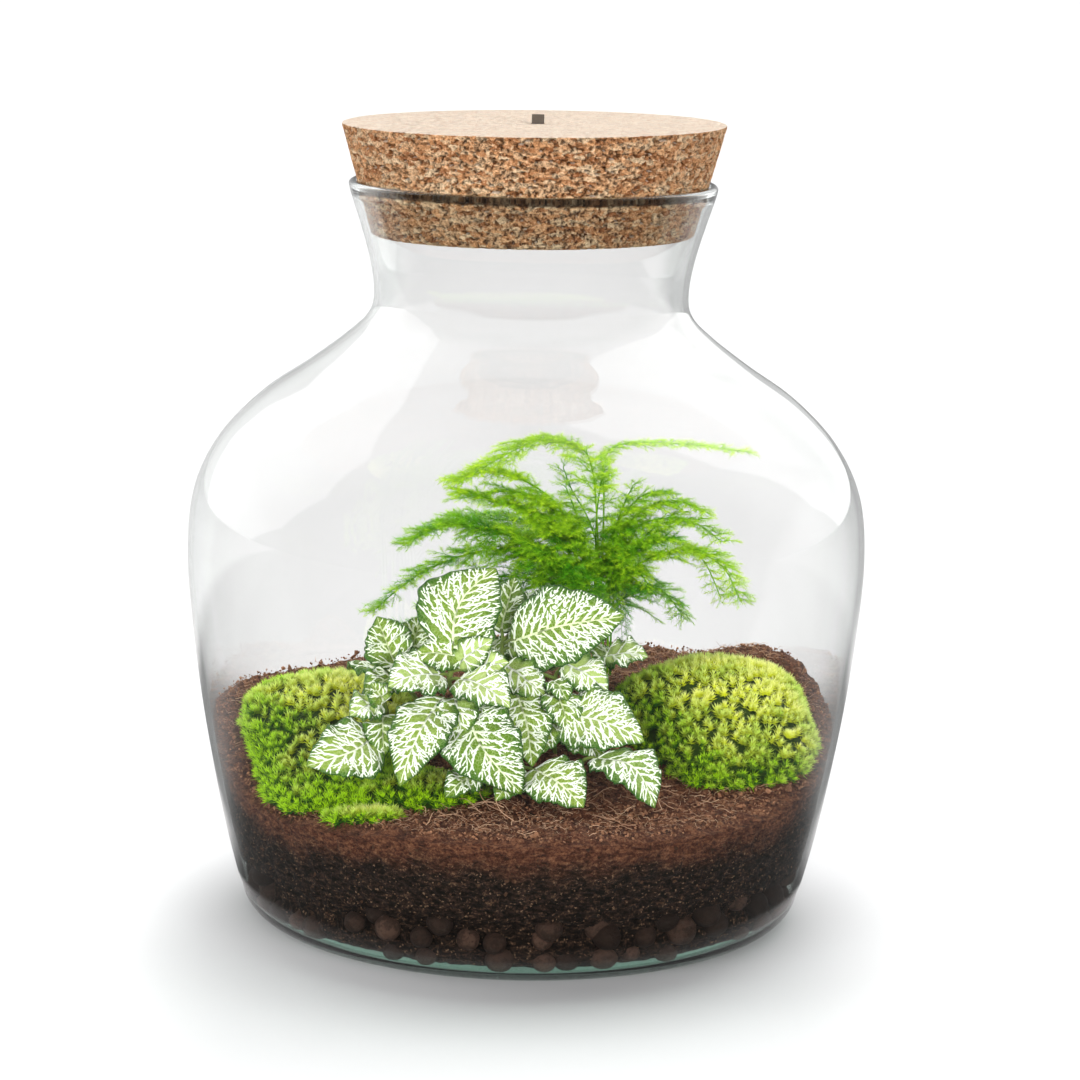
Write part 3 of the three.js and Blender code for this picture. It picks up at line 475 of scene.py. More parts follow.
def wires(name, lines, sides):
    """Round stems as one closed mesh. A stem is (its points in millimetres, its radius at both ends)."""
    curve = bpy.data.curves.new(name, "CURVE")
    curve.dimensions = "3D"
    curve.bevel_depth = MM
    curve.bevel_resolution = max(0, sides // 2 - 1)
    curve.use_fill_caps = True
    for line, first, last in lines:
        spline = curve.splines.new("POLY")
        spline.points.add(len(line) - 1)
        for i, (point, place) in enumerate(zip(spline.points, line)):
            point.co = (*(np.array(place) * MM), 1)
            point.radius = first + (last - first) * i / (len(line) - 1)
    take(set_out(name, curve))
    bpy.ops.object.convert(target="MESH")
    return called(name)


# Finishes

def paint(red, green, blue):
    """A screen colour, 0 to 255, as the light it stands for."""
    return tuple((c / 255 / 12.92 if c < 10.3 else ((c / 255 + 0.055) / 1.055) ** 2.4)
                 for c in (red, green, blue)) + (1,)


class Nodes:
    """Adds nodes to a material or a world, and links them. Sizes and depths are in millimetres."""

    def __init__(self, owner):
        owner.use_nodes = True
        self.owner = owner
        self.tree = owner.node_tree
        self.tree.nodes.clear()

    def node(self, kind, feeds=(), **settings):
        made = self.tree.nodes.new("ShaderNode" + kind)
        for key, value in settings.items():
            setattr(made, key, value)
        for key, value in dict(feeds).items():
            self.feed(made.inputs[key], value)
        return made

    def feed(self, socket, value):
        if isinstance(value, bpy.types.NodeSocket):
            self.tree.links.new(value, socket)
        else:
            socket.default_value = value

    def math(self, operation, *values):
        return self.node("Math", dict(enumerate(values)), operation=operation).outputs[0]

    def times(self, first, second):
        return self.math("MULTIPLY", first, second)

    def plus(self, first, second):
        return self.math("ADD", first, second)

    def rest(self, value):
        """What a value lacks to 1."""
        return self.math("SUBTRACT", 1, value)

    def step(self, value, low, high):
        """0 below low, 1 above high, smooth between."""
        feeds = {"Value": value, "From Min": low, "From Max": high}
        return self.node("MapRange", feeds, interpolation_type="SMOOTHSTEP").outputs["Result"]

    def mix(self, share, first, second):
        made = self.node("Mix", data_type="RGBA")
        for key, value in {0: share, 6: first, 7: second}.items():
            self.feed(made.inputs[key], value)
        return made.outputs[2]

    def ramp(self, value, stops):
        made = self.node("ValToRGB", {"Fac": value})
        band = made.color_ramp
        while len(band.elements) < len(stops):
            band.elements.new(0.5)
        for element, (place, colour) in zip(band.elements, stops):
            element.position, element.color = place, colour
        return made.outputs["Color"]

    def place(self):
        return self.node("TexCoord").outputs["Object"]

    def part(self, vector, axis):
        return self.node("SeparateXYZ", {0: vector}).outputs[axis]

    def value(self, name):
        return self.node("Attribute", attribute_type="GEOMETRY", attribute_name=name).outputs["Fac"]

    def noise(self, place, size, detail=3, roughness=0.55):
        feeds = {"Vector": place, "Scale": 1 / (size * MM), "Detail": detail, "Roughness": roughness}
        return self.node("TexNoise", feeds).outputs["Fac"]

    def cells(self, place, size, feature="F1"):
        return self.node("TexVoronoi", {"Vector": place, "Scale": 1 / (size * MM)}, feature=feature)

    def mapped(self, place, scale, turn):
        return self.node("Mapping", {"Vector": place, "Rotation": turn, "Scale": scale}).outputs[0]

    def relief(self, height, depth):
        feeds = {"Height": height, "Distance": depth * MM, "Strength": 1.0}
        return self.node("Bump", feeds).outputs["Normal"]


class Finish(Nodes):
    """A material put together from nodes."""

    def __init__(self, name):
        super().__init__(bpy.data.materials.new(name))

    def coat(self, colour, roughness, normal=None, **more):
        feeds = {"Base Color": colour, "Roughness": roughness}
        if normal is not None:
            feeds["Normal"] = normal
        feeds.update({key.replace("_", " "): value for key, value in more.items()})
        return self.node("BsdfPrincipled", feeds)

    def done(self, shader, volume=None):
        out = self.node("OutputMaterial", {"Surface": shader.outputs[0]})
        if volume is not None:
            self.feed(out.inputs["Volume"], volume.outputs[0])
        return self.owner


def clear_glass():
    """Refracting glass, greener in its foot, that lets soft light and the light for shadows through."""
    glass = Finish("clear blown glass")
    in_foot = glass.step(glass.part(glass.place(), "Z"), 0.001, 0.012)
    tint = glass.mix(in_foot, (0.55, 0.88, 0.74, 1), (1, 1, 1, 1))
    body = glass.coat(tint, 0.0, IOR=1.5, Transmission_Weight=1.0)
    path = glass.node("LightPath").outputs
    open_way = glass.node("BsdfTransparent", {"Color": (0.93, 0.95, 0.94, 1)})
    for ray in ("Is Diffuse Ray", "Is Shadow Ray"):
        body = glass.node("MixShader", {0: path[ray], 1: body.outputs[0], 2: open_way.outputs[0]})
    green = glass.node("VolumeAbsorption", {"Color": (0.25, 0.75, 0.5, 1), "Density": 8.0})
    return glass.done(body, green)


def pressed_cork():
    """Slanting flakes in several tans, with painted shade in the pits and cracks between them, a painted
    shadow at the glass rim, and a paler sanded top.
    """
    cork = Finish("pressed cork")
    place = cork.place()
    wobble = cork.node("TexNoise", {"Vector": place, "Scale": 700.0, "Detail": 4, "Roughness": 0.7})
    bend = {0: wobble.outputs["Color"], 1: (0.0024, 0.0024, 0.0018), 2: place}
    bent = cork.node("VectorMath", bend, operation="MULTIPLY_ADD").outputs[0]
    slanted = cork.mapped(bent, (0.75, 0.75, 1.7), (0, 0.45, 0))
    shade = cork.node("SeparateColor", {0: cork.cells(slanted, 2.6).outputs["Color"]}).outputs[0]
    tans = [(0.0, paint(178, 114, 70)), (0.4, paint(238, 176, 122)), (1.0, paint(255, 222, 180))]
    tan = cork.ramp(shade, tans)
    fine = cork.noise(bent, 1.0, 6, 0.8)
    tan = cork.mix(cork.step(fine, 0.40, 0.56), cork.mix(0.6, tan, paint(104, 56, 30)), tan)
    tan = cork.mix(cork.times(cork.step(fine, 0.53, 0.66), 0.8), tan, paint(255, 226, 190))
    # Painted shade: the cracks and the pits between the flakes darken the side; the cracks also shape the
    # relief.
    cracks = cork.step(cork.noise(slanted, 1.5, 6, 0.85), 0.40, 0.46)
    pits = cork.rest(cork.step(cork.value("pit"), 0.2, 0.9))
    solid = cork.times(cork.plus(cork.times(cracks, 0.8), 0.2), cork.plus(cork.times(pits, 0.6), 0.4))
    side = cork.mix(solid, paint(40, 22, 12), tan)
    flecks = cork.step(cork.noise(bent, 1.6, 5, 0.8), 0.46, 0.62)
    top = cork.mix(cork.times(flecks, 0.5), paint(255, 243, 226), paint(218, 168, 126))
    top = cork.mix(0.14, top, tan)
    looks_up = cork.step(cork.part(cork.node("NewGeometry").outputs["Normal"], "Z"), 0.8, 0.95)
    colour = cork.mix(cork.times(looks_up, 0.92), side, top)
    height = cork.part(place, "Z")
    # Painted shadow: a dark ring where the glass rim meets the cork, and a little painted shade on the cork
    # inside the mouth.
    rim_shadow = cork.times(cork.step(height, 0.2745, 0.2755), cork.rest(cork.step(height, 0.2772, 0.2784)))
    colour = cork.mix(cork.times(rim_shadow, 0.85), colour, paint(34, 20, 12))
    in_mouth = cork.rest(cork.step(height, 0.2735, 0.2748))
    colour = cork.mix(cork.times(in_mouth, 0.2), colour, paint(104, 50, 26))
    relief = cork.plus(cork.plus(cork.times(cracks, 0.7), fine), cork.times(shade, 0.5))
    return cork.done(cork.coat(colour, 0.9, cork.relief(relief, 1.8), Specular_IOR_Level=0.2))


def dark_leather():
    leather = Finish("dark leather")
    pores = leather.noise(leather.place(), 0.5)
    colour = leather.mix(leather.times(pores, 0.6), paint(92, 84, 76), paint(52, 45, 40))
    return leather.done(leather.coat(colour, 0.6, leather.relief(pores, 0.15)))


def damp_soil():
    """Reddish brown and fibrous at its top, and darker with pale specks where it lies deep."""
    soil = Finish("damp potting soil")
    place = soil.place()
    grit = soil.noise(place, 0.9, 5, 0.75)
    clumps = soil.noise(soil.mapped(place, (1, 1, 2.2), (0.4, 0.3, 0.5)), 3.2, 5, 0.7)
    shade = soil.node("SeparateColor", {0: soil.cells(place, 0.6).outputs["Color"]}).outputs[1]
    both = soil.plus(soil.times(clumps, 0.55), soil.times(grit, 0.45))
    deep = soil.ramp(both, [(0.38, paint(8, 6, 5)), (0.48, paint(26, 18, 15)),
                            (0.56, paint(58, 42, 34)), (0.66, paint(124, 92, 70))])
    specks = soil.times(soil.step(shade, 0.95, 0.965), soil.step(grit, 0.46, 0.54))
    deep = soil.mix(specks, deep, paint(134, 104, 82))
    top = soil.ramp(both, [(0.36, paint(30, 16, 11)), (0.48, paint(84, 48, 34)),
                           (0.58, paint(132, 84, 60)), (0.72, paint(186, 136, 102))])
    depth = soil.plus(soil.value("depth"), soil.times(soil.noise(place, 11, 3), 16))
    colour = soil.mix(soil.step(depth, 9, 22), top, deep)
    height = soil.plus(clumps, soil.times(grit, 0.5))
    return soil.done(soil.coat(colour, 0.92, soil.relief(height, 2.4), Specular_IOR_Level=0.25))


def crumb_finish(name, dark, light):
    crumb = Finish(name)
    speck = crumb.noise(crumb.place(), 0.7)
    colour = crumb.mix(crumb.times(crumb.plus(crumb.value("tone"), speck), 0.5), dark, light)
    return crumb.done(crumb.coat(colour, 0.9, crumb.relief(speck, 0.4), Specular_IOR_Level=0.25))


def clay():
    ball = Finish("fired clay")
    place = ball.place()
    pores = ball.noise(place, 0.9, 4, 0.65)
    colour = ball.mix(ball.value("tone"), paint(34, 24, 20), paint(76, 55, 46))
    colour = ball.mix(ball.times(ball.step(pores, 0.5, 0.7), 0.7), colour, paint(26, 18, 15))
    dirt = ball.step(ball.noise(place, 4, 4, 0.7), 0.48, 0.56)
    colour = ball.mix(ball.times(dirt, 0.6), colour, paint(34, 24, 20))
    return ball.done(ball.coat(colour, 0.8, ball.relief(pores, 0.6), Specular_IOR_Level=0.3))


def moss_green():
    moss = Finish("star moss")
    # The tone holds painted light and shade as well as the moss's own tone.
    rise, tone = moss.value("rise"), moss.value("tone")
    low = moss.mix(tone, paint(34, 84, 2), paint(224, 228, 34))
    high = moss.mix(tone, paint(182, 228, 10), paint(255, 255, 156))
    colour = moss.mix(moss.step(rise, 0.25, 0.85), low, high)
    return moss.done(moss.coat(colour, 0.5, Specular_IOR_Level=0.35))


def moss_bed():
    bed = Finish("moss bed")
    shade = bed.noise(bed.place(), 2.0, 4)
    colour = bed.mix(shade, paint(12, 24, 4), paint(48, 70, 12))
    return bed.done(bed.coat(colour, 0.9, bed.relief(shade, 1.0)))


def fern_green():
    fern = Finish("fern green")
    rise, tone = fern.value("rise"), fern.value("tone")
    old = fern.mix(rise, paint(36, 116, 8), paint(112, 190, 24))
    young = fern.mix(rise, paint(150, 206, 10), paint(222, 248, 50))
    colour = fern.mix(tone, old, young)
    return fern.done(fern.coat(colour, 0.5, Specular_IOR_Level=0.3))


def mottled(name, size, dark, light, roughness):
    """One soft green in lumps of a size in millimetres."""
    finish = Finish(name)
    colour = finish.mix(finish.noise(finish.place(), size), dark, light)
    return finish.done(finish.coat(colour, roughness))


def nerve_leaf():
    """Olive green with a fine pale net, and a darker green edge."""
    leaf = Finish("nerve leaf")
    reach, white, tone = leaf.value("reach"), leaf.value("white"), leaf.value("tone")
    green = leaf.mix(tone, paint(100, 132, 34), paint(128, 152, 52))
    green = leaf.mix(leaf.times(leaf.step(white, 0.5, 1.0), 0.75), green, paint(196, 212, 130))
    green = leaf.mix(leaf.step(reach, 0.45, 0.95), green, paint(60, 100, 28))
    green = leaf.mix(leaf.step(reach, 0.95, 0.985), green, paint(36, 78, 26))
    net = leaf.cells(leaf.place(), 1.3, "DISTANCE_TO_EDGE").outputs["Distance"]
    pale = leaf.math("SUBTRACT", 0.4, leaf.times(reach, 0.25))
    lines = leaf.rest(leaf.step(net, 0.02, 0.09))
    colour = leaf.mix(leaf.times(lines, pale), green, paint(214, 222, 170))
    return leaf.done(leaf.coat(colour, 0.42, leaf.relief(net, 0.3), Specular_IOR_Level=0.25))


def leaf_vein():
    """White, with a breath of yellow-green in a leaf's middle and in the young leaves."""
    vein = Finish("leaf vein")
    reach, white = vein.value("reach"), vein.value("white")
    old = vein.mix(vein.step(reach, 0.0, 0.3), paint(238, 244, 196), paint(252, 253, 240))
    colour = vein.mix(vein.step(white, 0.3, 0.8), old, paint(253, 253, 243))
    return vein.done(vein.coat(colour, 0.5, Specular_IOR_Level=0.25))


def pale_floor():
    """Pale, painted darker near the jar to deepen its contact shadow and lighter at its sides, and painted
    darker as the glass shows it, as if a black card lay before the jar and grey ones behind it.
    """
    floor = Finish("pale floor")
    place = floor.place()
    right, back, _ = floor.node("SeparateXYZ", {0: place}).outputs
    aside = floor.math("ABSOLUTE", right)
    far = floor.node("VectorMath", {0: place}, operation="LENGTH").outputs["Value"]
    # Painted shade and light: darker near the jar, which deepens its contact shadow, and lighter at its
    # sides, which lightens the shadow there.
    pale = floor.mix(floor.step(far, 0.25, 2.2), (0.505, 0.505, 0.51, 1), (0.60, 0.60, 0.605, 1))
    pale = floor.mix(floor.step(aside, 0.09, 0.17), pale, (0.60, 0.60, 0.605, 1))
    # Painted reflection: as the glass mirrors or bends it, the floor is black before the jar, dark grey
    # beside it and grey behind it.
    before = floor.times(floor.step(far, 0.113, 0.122), floor.rest(floor.step(back, 0.0, 0.12)))
    close_by = floor.times(floor.step(aside, 0.13, 0.17), floor.rest(floor.step(back, 0.27, 0.40)))
    far_side = floor.mix(floor.step(right, -0.1, 0.1), (0.45, 0.45, 0.45, 1), (0.29, 0.29, 0.29, 1))
    painted_reflection = floor.mix(floor.step(aside, 0.2, 0.32), (0.50, 0.49, 0.494, 1), far_side)
    painted_reflection = floor.mix(close_by, painted_reflection, (0.15, 0.15, 0.15, 1))
    painted_reflection = floor.mix(before, painted_reflection, (0.04, 0.04, 0.04, 1))
    colour = floor.mix(floor.node("LightPath").outputs["Is Glossy Ray"], pale, painted_reflection)
    return floor.done(floor.coat(colour, 0.9, Specular_IOR_Level=0.0))


GLASS, CORK, LEATHER, SOIL, CLAY = clear_glass(), pressed_cork(), dark_leather(), damp_soil(), clay()
CRUMB = crumb_finish("soil crumbs", paint(40, 20, 13), paint(186, 130, 98))
DEEP_CRUMB = crumb_finish("deep soil crumbs", paint(14, 9, 8), paint(96, 68, 52))
FIBRE = crumb_finish("soil fibres", paint(120, 66, 42), paint(240, 198, 164))
MOSS, MOSS_BED, FERN, LEAF, VEIN = moss_green(), moss_bed(), fern_green(), nerve_leaf(), leaf_vein()
STEM = mottled("green stem", 3, paint(84, 98, 38), paint(138, 156, 78), 0.5)
LEAF_UNDER = mottled("nerve leaf underside", 2.5, paint(128, 156, 84), paint(176, 196, 132), 0.6)


def finished(piece, materials, slot, *nodes):
    """Gives a piece its finish, and its place in the whole."""
    piece.data.materials.clear()
    for material in materials:
        piece.data.materials.append(material)
    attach(piece, "root")
    if nodes:
        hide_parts(*nodes)
    return piece


# The jar and its stopper

def make_jar():
    """A blown shell, open at its mouth: the outside from the foot up, the rim, and the inside down again."""
    down = -math.pi / 2
    heel_radius, heel_size = HEEL_OUTSIDE
    outline = JAR_FOOT + arc(heel_radius, heel_size, heel_size, down, -0.1, 12) + list(OUTER_WALL)
    outline += arc(*RIM_BEAD, -0.25, math.pi + 0.1, 12) + list(INNER_WALL[::-1])
    outline += arc(HEEL_RADIUS, GLASS_FLOOR + HEEL_INNER, HEEL_INNER, -0.12, down, 10)
    outline += [(radius, GLASS_FLOOR) for radius in (60, 30, 0)]
    jar = turned("glass_jar_blown", outline, JAR_STEPS)
    finished(jar, [GLASS], "clear_glass", "glass_jar")


def make_stopper():
    """A tapered disc whose side is broken up in slanting flakes, with a slot for the tab."""
    foot, top = np.array([CORK_FOOT_RADIUS, CORK_FOOT]), np.array([CORK_TOP_RADIUS, CORK_TOP])
    outline = [(radius, CORK_FOOT) for radius in (0, 30, 50, CORK_FOOT_RADIUS - 1)]
    outline += [foot + (top - foot) * t for t in np.linspace(0.02, 0.985, 66)]
    outline += [(CORK_TOP_RADIUS - 0.2, CORK_TOP - 0.25), (CORK_TOP_RADIUS - 0.9, CORK_TOP)]
    outline += [(radius, CORK_TOP) for radius in (69.5, 67, 60, 50, 40, 30, 20, 10, 0)]
    cork = turned("cork_stopper_pressed", outline, CORK_STEPS)
    cutter = started("slot_cutter", bpy.ops.mesh.primitive_cube_add, size=MM,
                     location=(TAB_X * MM, TAB_Y * MM, CORK_TOP * MM))
    cutter.scale = (TAB_WIDTH + 2 * CLEARANCE, 2 * (TAB_LEATHER + CLEARANCE) + TAB_FOLD_GAP,
                    2 * (TAB_SUNK + CLEARANCE))
    settle(cutter)
    modified(cork, "BOOLEAN", operation="DIFFERENCE", object=cutter, solver="EXACT")
    bpy.data.objects.remove(cutter)
    corners = corners_of(cork)
    reach, turn, height = np.hypot(corners[:, 0], corners[:, 1]), turn_of(corners), corners[:, 2]
    on_side = smoothstep(reach, 55, 59) * smoothstep(CORK_TOP - height, -0.1, 1.0)
    flaked = np.stack([turn * 66 + height * 0.5, reach, (height - turn * 20) * 1.5], axis=1)
    rough = np.zeros(len(corners))
    rough[on_side > 0] = grain(flaked[on_side > 0], FLAKE_SIZE)
    pit = smoothstep(rough, 0.14, 0.42) * on_side
    lumps = np.clip(-0.45 * rough - PIT_DEPTH * pit, -1.7, 0.2)
    corners[:, :2] *= (1 + lumps * on_side / np.maximum(reach, 1))[:, None]
    corners[:, 2] += CORK_LEAN * corners[:, 0]
    # How deep each pit lies; the finish paints shade there.
    add_values(cork, "pit", pit)
    set_corners(cork, corners)
    take(cork)
    bpy.ops.object.shade_smooth_by_angle(angle=math.radians(50))
    finished(cork, [CORK], "pressed_cork", "cork_stopper")


def make_tab():
    """A strap folded double, drawn up one leg, over its fold and down the other leg."""
    leg = TAB_LEATHER / 2 + TAB_FOLD_GAP / 2
    fold_height = CORK_TOP + TAB_PROUD - TAB_LEATHER - TAB_FOLD_GAP / 2
    rise = (fold_height - CORK_TOP + TAB_SUNK) * MM
    tab = started("lid_pull_tab_leather", bpy.ops.mesh.primitive_plane_add, size=MM, location=(0, 0, 0))
    tab.scale = (TAB_WIDTH, TAB_LEATHER, 1)
    tab.location = (TAB_X * MM, (TAB_Y - leg) * MM, (CORK_TOP - TAB_SUNK) * MM)
    settle(tab)
    bpy.ops.object.mode_set(mode="EDIT")
    bpy.ops.mesh.select_all(action="SELECT")
    bpy.ops.mesh.extrude_region_move(TRANSFORM_OT_translate={"value": (0, 0, rise)})
    fold = (TAB_X * MM, TAB_Y * MM, fold_height * MM)
    bpy.ops.mesh.spin(steps=10, angle=math.pi, center=fold, axis=(-1, 0, 0))
    bpy.ops.mesh.extrude_region_move(TRANSFORM_OT_translate={"value": (0, 0, -rise)})
    clean_shell(0.004)
    modified(tab, "BEVEL", width=0.22 * MM, segments=2, angle_limit=math.radians(50))
    bpy.ops.object.shade_smooth_by_angle(angle=math.radians(50))
    finished(tab, [LEATHER], "dark_leather", "lid_pull_tab")


# The ground

def lumpy_balls(name, subdivisions, roughness, count, seed):
    """A few differently lumped balls of radius 1 mm to copy from."""
    shapes = []
    for i in range(count):
        ball = started(name, bpy.ops.mesh.primitive_ico_sphere_add, subdivisions=subdivisions, radius=MM)
        corners = corners_of(ball)
        set_corners(ball, corners * (1 + roughness * grain(corners + seed + 7 * i, 0.9, 2))[:, None])
        shapes.append(model_of(ball))
    return shapes


def make_pebbles():
    """A core of soil among the pebbles, and three rings of pebbles against the glass."""
    core = turned("pebble_bed_grit", BED_OUTLINE, 300)
    corners = corners_of(core)
    reach = np.maximum(np.hypot(corners[:, 0], corners[:, 1]), 20)
    corners[:, :2] *= (1 - (0.8 + 2.6 * np.clip(0.5 + grain(corners, 4.5), 0, 1.2)) / reach)[:, None]
    set_corners(core, corners)
    add_values(core, "depth", np.full(len(corners), 40))
    finished(core, [SOIL], "clay_pebbles", "clay_pebble_bed")
    draw = random.Random(5)
    shapes = lumpy_balls("pebble", 3, 0.05, 4, 30)
    places = []
    for height, radius, count in PEBBLE_RINGS:
        for i in range(count):
            angle = (i + draw.uniform(-0.25, 0.25)) / count * 2 * math.pi
            size = draw.uniform(3.9, 5.9)
            z = max(height + draw.uniform(-1.2, 1.4), BED_BOTTOM + size * 1.02)
            if draw.random() < 0.1:
                continue
            limit = float(inside_radius(max(z, 15))) - size * 1.07 - 0.4
            drop = GLASS_FLOOR + HEEL_INNER - z
            if drop > 0:
                limit = HEEL_RADIUS + math.sqrt(max(0, (HEEL_INNER - size) ** 2 - drop ** 2)) - 0.4
            out = min(radius + draw.uniform(-3.0, 6.0), limit)
            at = (out * math.cos(angle), out * math.sin(angle), min(z, BED_TOP - size * 0.75))
            places.append(tumbled(draw, shapes, at, [size * draw.uniform(0.92, 1.06) for _ in range(3)]))
    pebbles = strewn("clay_pebbles", places)
    take(pebbles)
    bpy.ops.object.shade_smooth()
    finished(pebbles, [CLAY], "clay_pebbles", "clay_pebble_bed")


def make_soil():
    """A drum of rings, laid against the glass at its side and to the ground's height at its top."""
    rings, wall_steps = 70, 30
    outline = [(0, 0), (0.5, 0)] + [(1, i / wall_steps) for i in range(wall_steps + 1)]
    outline += [(i / rings, 1) for i in range(rings - 1, -1, -1)]
    soil = turned("potting_soil_mass", [(r * 100, z * 100) for r, z in outline], 420)
    corners = corners_of(soil) / 100
    share, angle, level = np.hypot(corners[:, 0], corners[:, 1]), turn_of(corners), corners[:, 2]
    way, ground = np.stack([np.cos(angle), np.sin(angle)]), np.zeros(len(angle))
    edge = np.stack([*((inside_radius(SOIL_FRONT) - CLEARANCE) * way), ground], axis=1)
    brim_height = soil_height(edge[:, 0], edge[:, 1]) - 1.6 + 1.5 * grain(edge, 6)
    height = BED_TOP + CLEARANCE + (brim_height - BED_TOP - CLEARANCE) * level
    radius = share * (inside_radius(height) - CLEARANCE)
    x, y = radius * way
    flat = np.stack([x, y, ground], axis=1)
    relief = 1.7 * grain(flat, 8) + 1.3 * grain(flat + 40, 2.6)
    inner = smoothstep(1 - share, 0.0, 0.045)
    top = (soil_height(x, y) + relief) * inner + brim_height * (1 - inner)
    z = np.where(level > 0.999, top, height)
    on_wall = (level > 0.001) & (level < 0.999)
    dent = np.zeros(len(x))
    dent[on_wall] = np.clip(1.6 * grain(np.stack([x, y, z], axis=1)[on_wall], 3.4) - 0.3, -1.8, 0)
    dent[on_wall] *= smoothstep(1 - level[on_wall], 0, 0.06)
    push = 1 + dent / np.maximum(radius, 1)
    set_corners(soil, np.stack([x * push, y * push, z], axis=1))
    add_values(soil, "depth", np.maximum(brim_height - z, 0) * (level < 0.999))
    finished(soil, [SOIL], "soil", "potting_soil")


def is_bare_soil(x, y, z, room):
    """True where a thing that needs this much room to the glass lies on open ground."""
    return math.hypot(x, y) <= float(inside_radius(z)) - room and all(
        ((x - cx) / (reach_x - 1)) ** 2 + ((y - cy) / (reach_y - 1)) ** 2 >= 1
        for _, cx, cy, reach_x, reach_y, _, _ in MOSS_CUSHIONS)


def make_crumbs():
    """Crumbs on the bare ground, and some pressed against the glass."""
    draw = random.Random(17)
    shapes = lumpy_balls("crumb", 1, 0.7, 6, 60)
    places = []
    while len(places) < CRUMBS:
        x, y = draw.uniform(-118, 118), draw.uniform(-118, 118)
        size = draw.uniform(0.24, 0.52) if draw.random() < 0.97 else draw.uniform(0.52, 1.2)
        z = float(soil_height(x, y))
        if not is_bare_soil(x, y, z, 1.2 + size):
            continue
        stretch = [size * draw.uniform(0.45, 1.5) for _ in range(3)]
        up = [draw.uniform(-1, 1) for _ in range(3)]
        shape = draw.choice(shapes)
        at = (x, y, z + draw.uniform(-0.4, 1.3) + size * 0.3)
        places.append((shape, placed(at, up, stretch, draw.uniform(0, 6)), draw.random()))
    finished(strewn("soil_crumbs", places), [CRUMB], "soil")
    places = []
    while len(places) < CRUMBS_AT_GLASS:
        turn = draw.uniform(0, 2 * math.pi)
        z = draw.uniform(BED_TOP, 54)
        size = draw.uniform(0.3, 0.8)
        out = float(inside_radius(z)) - CLEARANCE - size * 1.1 - draw.uniform(0, 0.8)
        stretch = [size * draw.uniform(0.6, 1.4) for _ in range(3)]
        places.append(tumbled(draw, shapes, (out * math.cos(turn), out * math.sin(turn), z), stretch))
    finished(strewn("soil_crumbs_at_glass", places), [DEEP_CRUMB], "soil")


def make_fibres():
    """Thin strands of peat that lie over the bare ground and stick up at its brim."""
    draw = random.Random(23)
    shapes = []
    for i in range(8):
        line = [(6 * t, 1.9 * math.sin(t * (2 + i % 3) + i) * t, 0.3 + 1.1 * math.sin(t * 4 + 2 * i) * t)
                for t in np.linspace(0, 1, 5)]
        shapes.append(model_of(wires("fibre", [(line, 0.13, 0.06)], 2)))
    places = []
    while len(places) < FIBRES:
        x, y = draw.uniform(-116, 116), draw.uniform(-116, 116)
        z = float(soil_height(x, y))
        size = draw.uniform(0.25, 0.8) if draw.random() < 0.9 else draw.uniform(0.8, 1.8)
        if not is_bare_soil(x, y, z, 2.5 + 6 * size):
            continue
        turn = Euler((draw.uniform(-0.5, 0.5), draw.uniform(-0.5, 0.25), draw.uniform(0, 6.3)))
        place = Matrix.Translation((x, y, z + 0.9)) @ turn.to_matrix().to_4x4() @ Matrix.Scale(size, 4)
        places.append((draw.choice(shapes), np.array(place), draw.random()))
    finished(strewn("soil_fibres", places), [FIBRE], "soil")


# Moss

def moss_shoots(seed):
    """Stars of narrow pointed leaves, in tiers round a short stalk, to copy from."""
    draw = random.Random(seed)
    shapes = []
    for _ in range(4):
        leaves = []
        for count, lean, length, height in [(7, 1.2, 3.2, 0.2), (8, 0.8, 3.4, 0.9), (6, 0.4, 2.8, 1.7)]:
            for i in range(count):
                turn = (i + draw.uniform(-0.25, 0.25)) / count * 2 * math.pi + 3 * lean
                tilt = lean + draw.uniform(-0.2, 0.2)
                size = length * draw.uniform(0.75, 1.15)
                aside = math.sin(tilt)
                middle = (aside * math.cos(turn) * size / 2, aside * math.sin(turn) * size / 2,
                          height + math.cos(tilt) * size / 2)
                leaves.append(spike("moss_leaf", 0.27, 0, size, [c * MM for c in middle], (0, tilt, turn)))
        shapes.append(model_of(settle(joined("moss_shoot", leaves))))
    return shapes


def moss_dome(cushion):
    """The point of a cushion, a little inside its outside, for a direction on the unit half ball."""
    _, cx, cy, reach_x, reach_y, height, seed = cushion

    def point(ux, uy, uz):
        turn = math.atan2(uy, ux)
        lump = 1 + 0.05 * math.sin(3 * turn + seed) + 0.05 * math.sin(5 * turn + seed)
        if cx > 0:
            lump += 0.03 - 0.12 * max(0, math.cos(turn - 1.0)) ** 2
        x = cx + (reach_x - MOSS_INSET) * lump * ux
        y = cy + (reach_y - MOSS_INSET) * lump * uy
        rise = (height - MOSS_INSET) if uz > 0 else MOSS_ROOT
        z = float(soil_height(x, y)) + rise * uz
        far, limit = math.hypot(x, y), float(inside_radius(z)) - 0.8 - MOSS_INSET
        if far > limit:
            x, y = x * limit / far, y * limit / far
        return Vector((x, y, z))

    return point


def moss_shade(cushion, around, flat):
    """How much painted shade a shoot gets: a little everywhere on a cushion on the left and more on its
    front, on the front and left of one on the right, and most on the fringe under the leaves.
    """
    name, cx = cushion[:2]
    if cx > 0:
        return 0.2 * flat * max(0, -math.sin(around) - 0.3 * math.cos(around))
    shade = 0.1 + 0.55 * flat * max(0, -math.sin(around))
    return shade + 0.35 if name == MOSS_FRINGE else shade


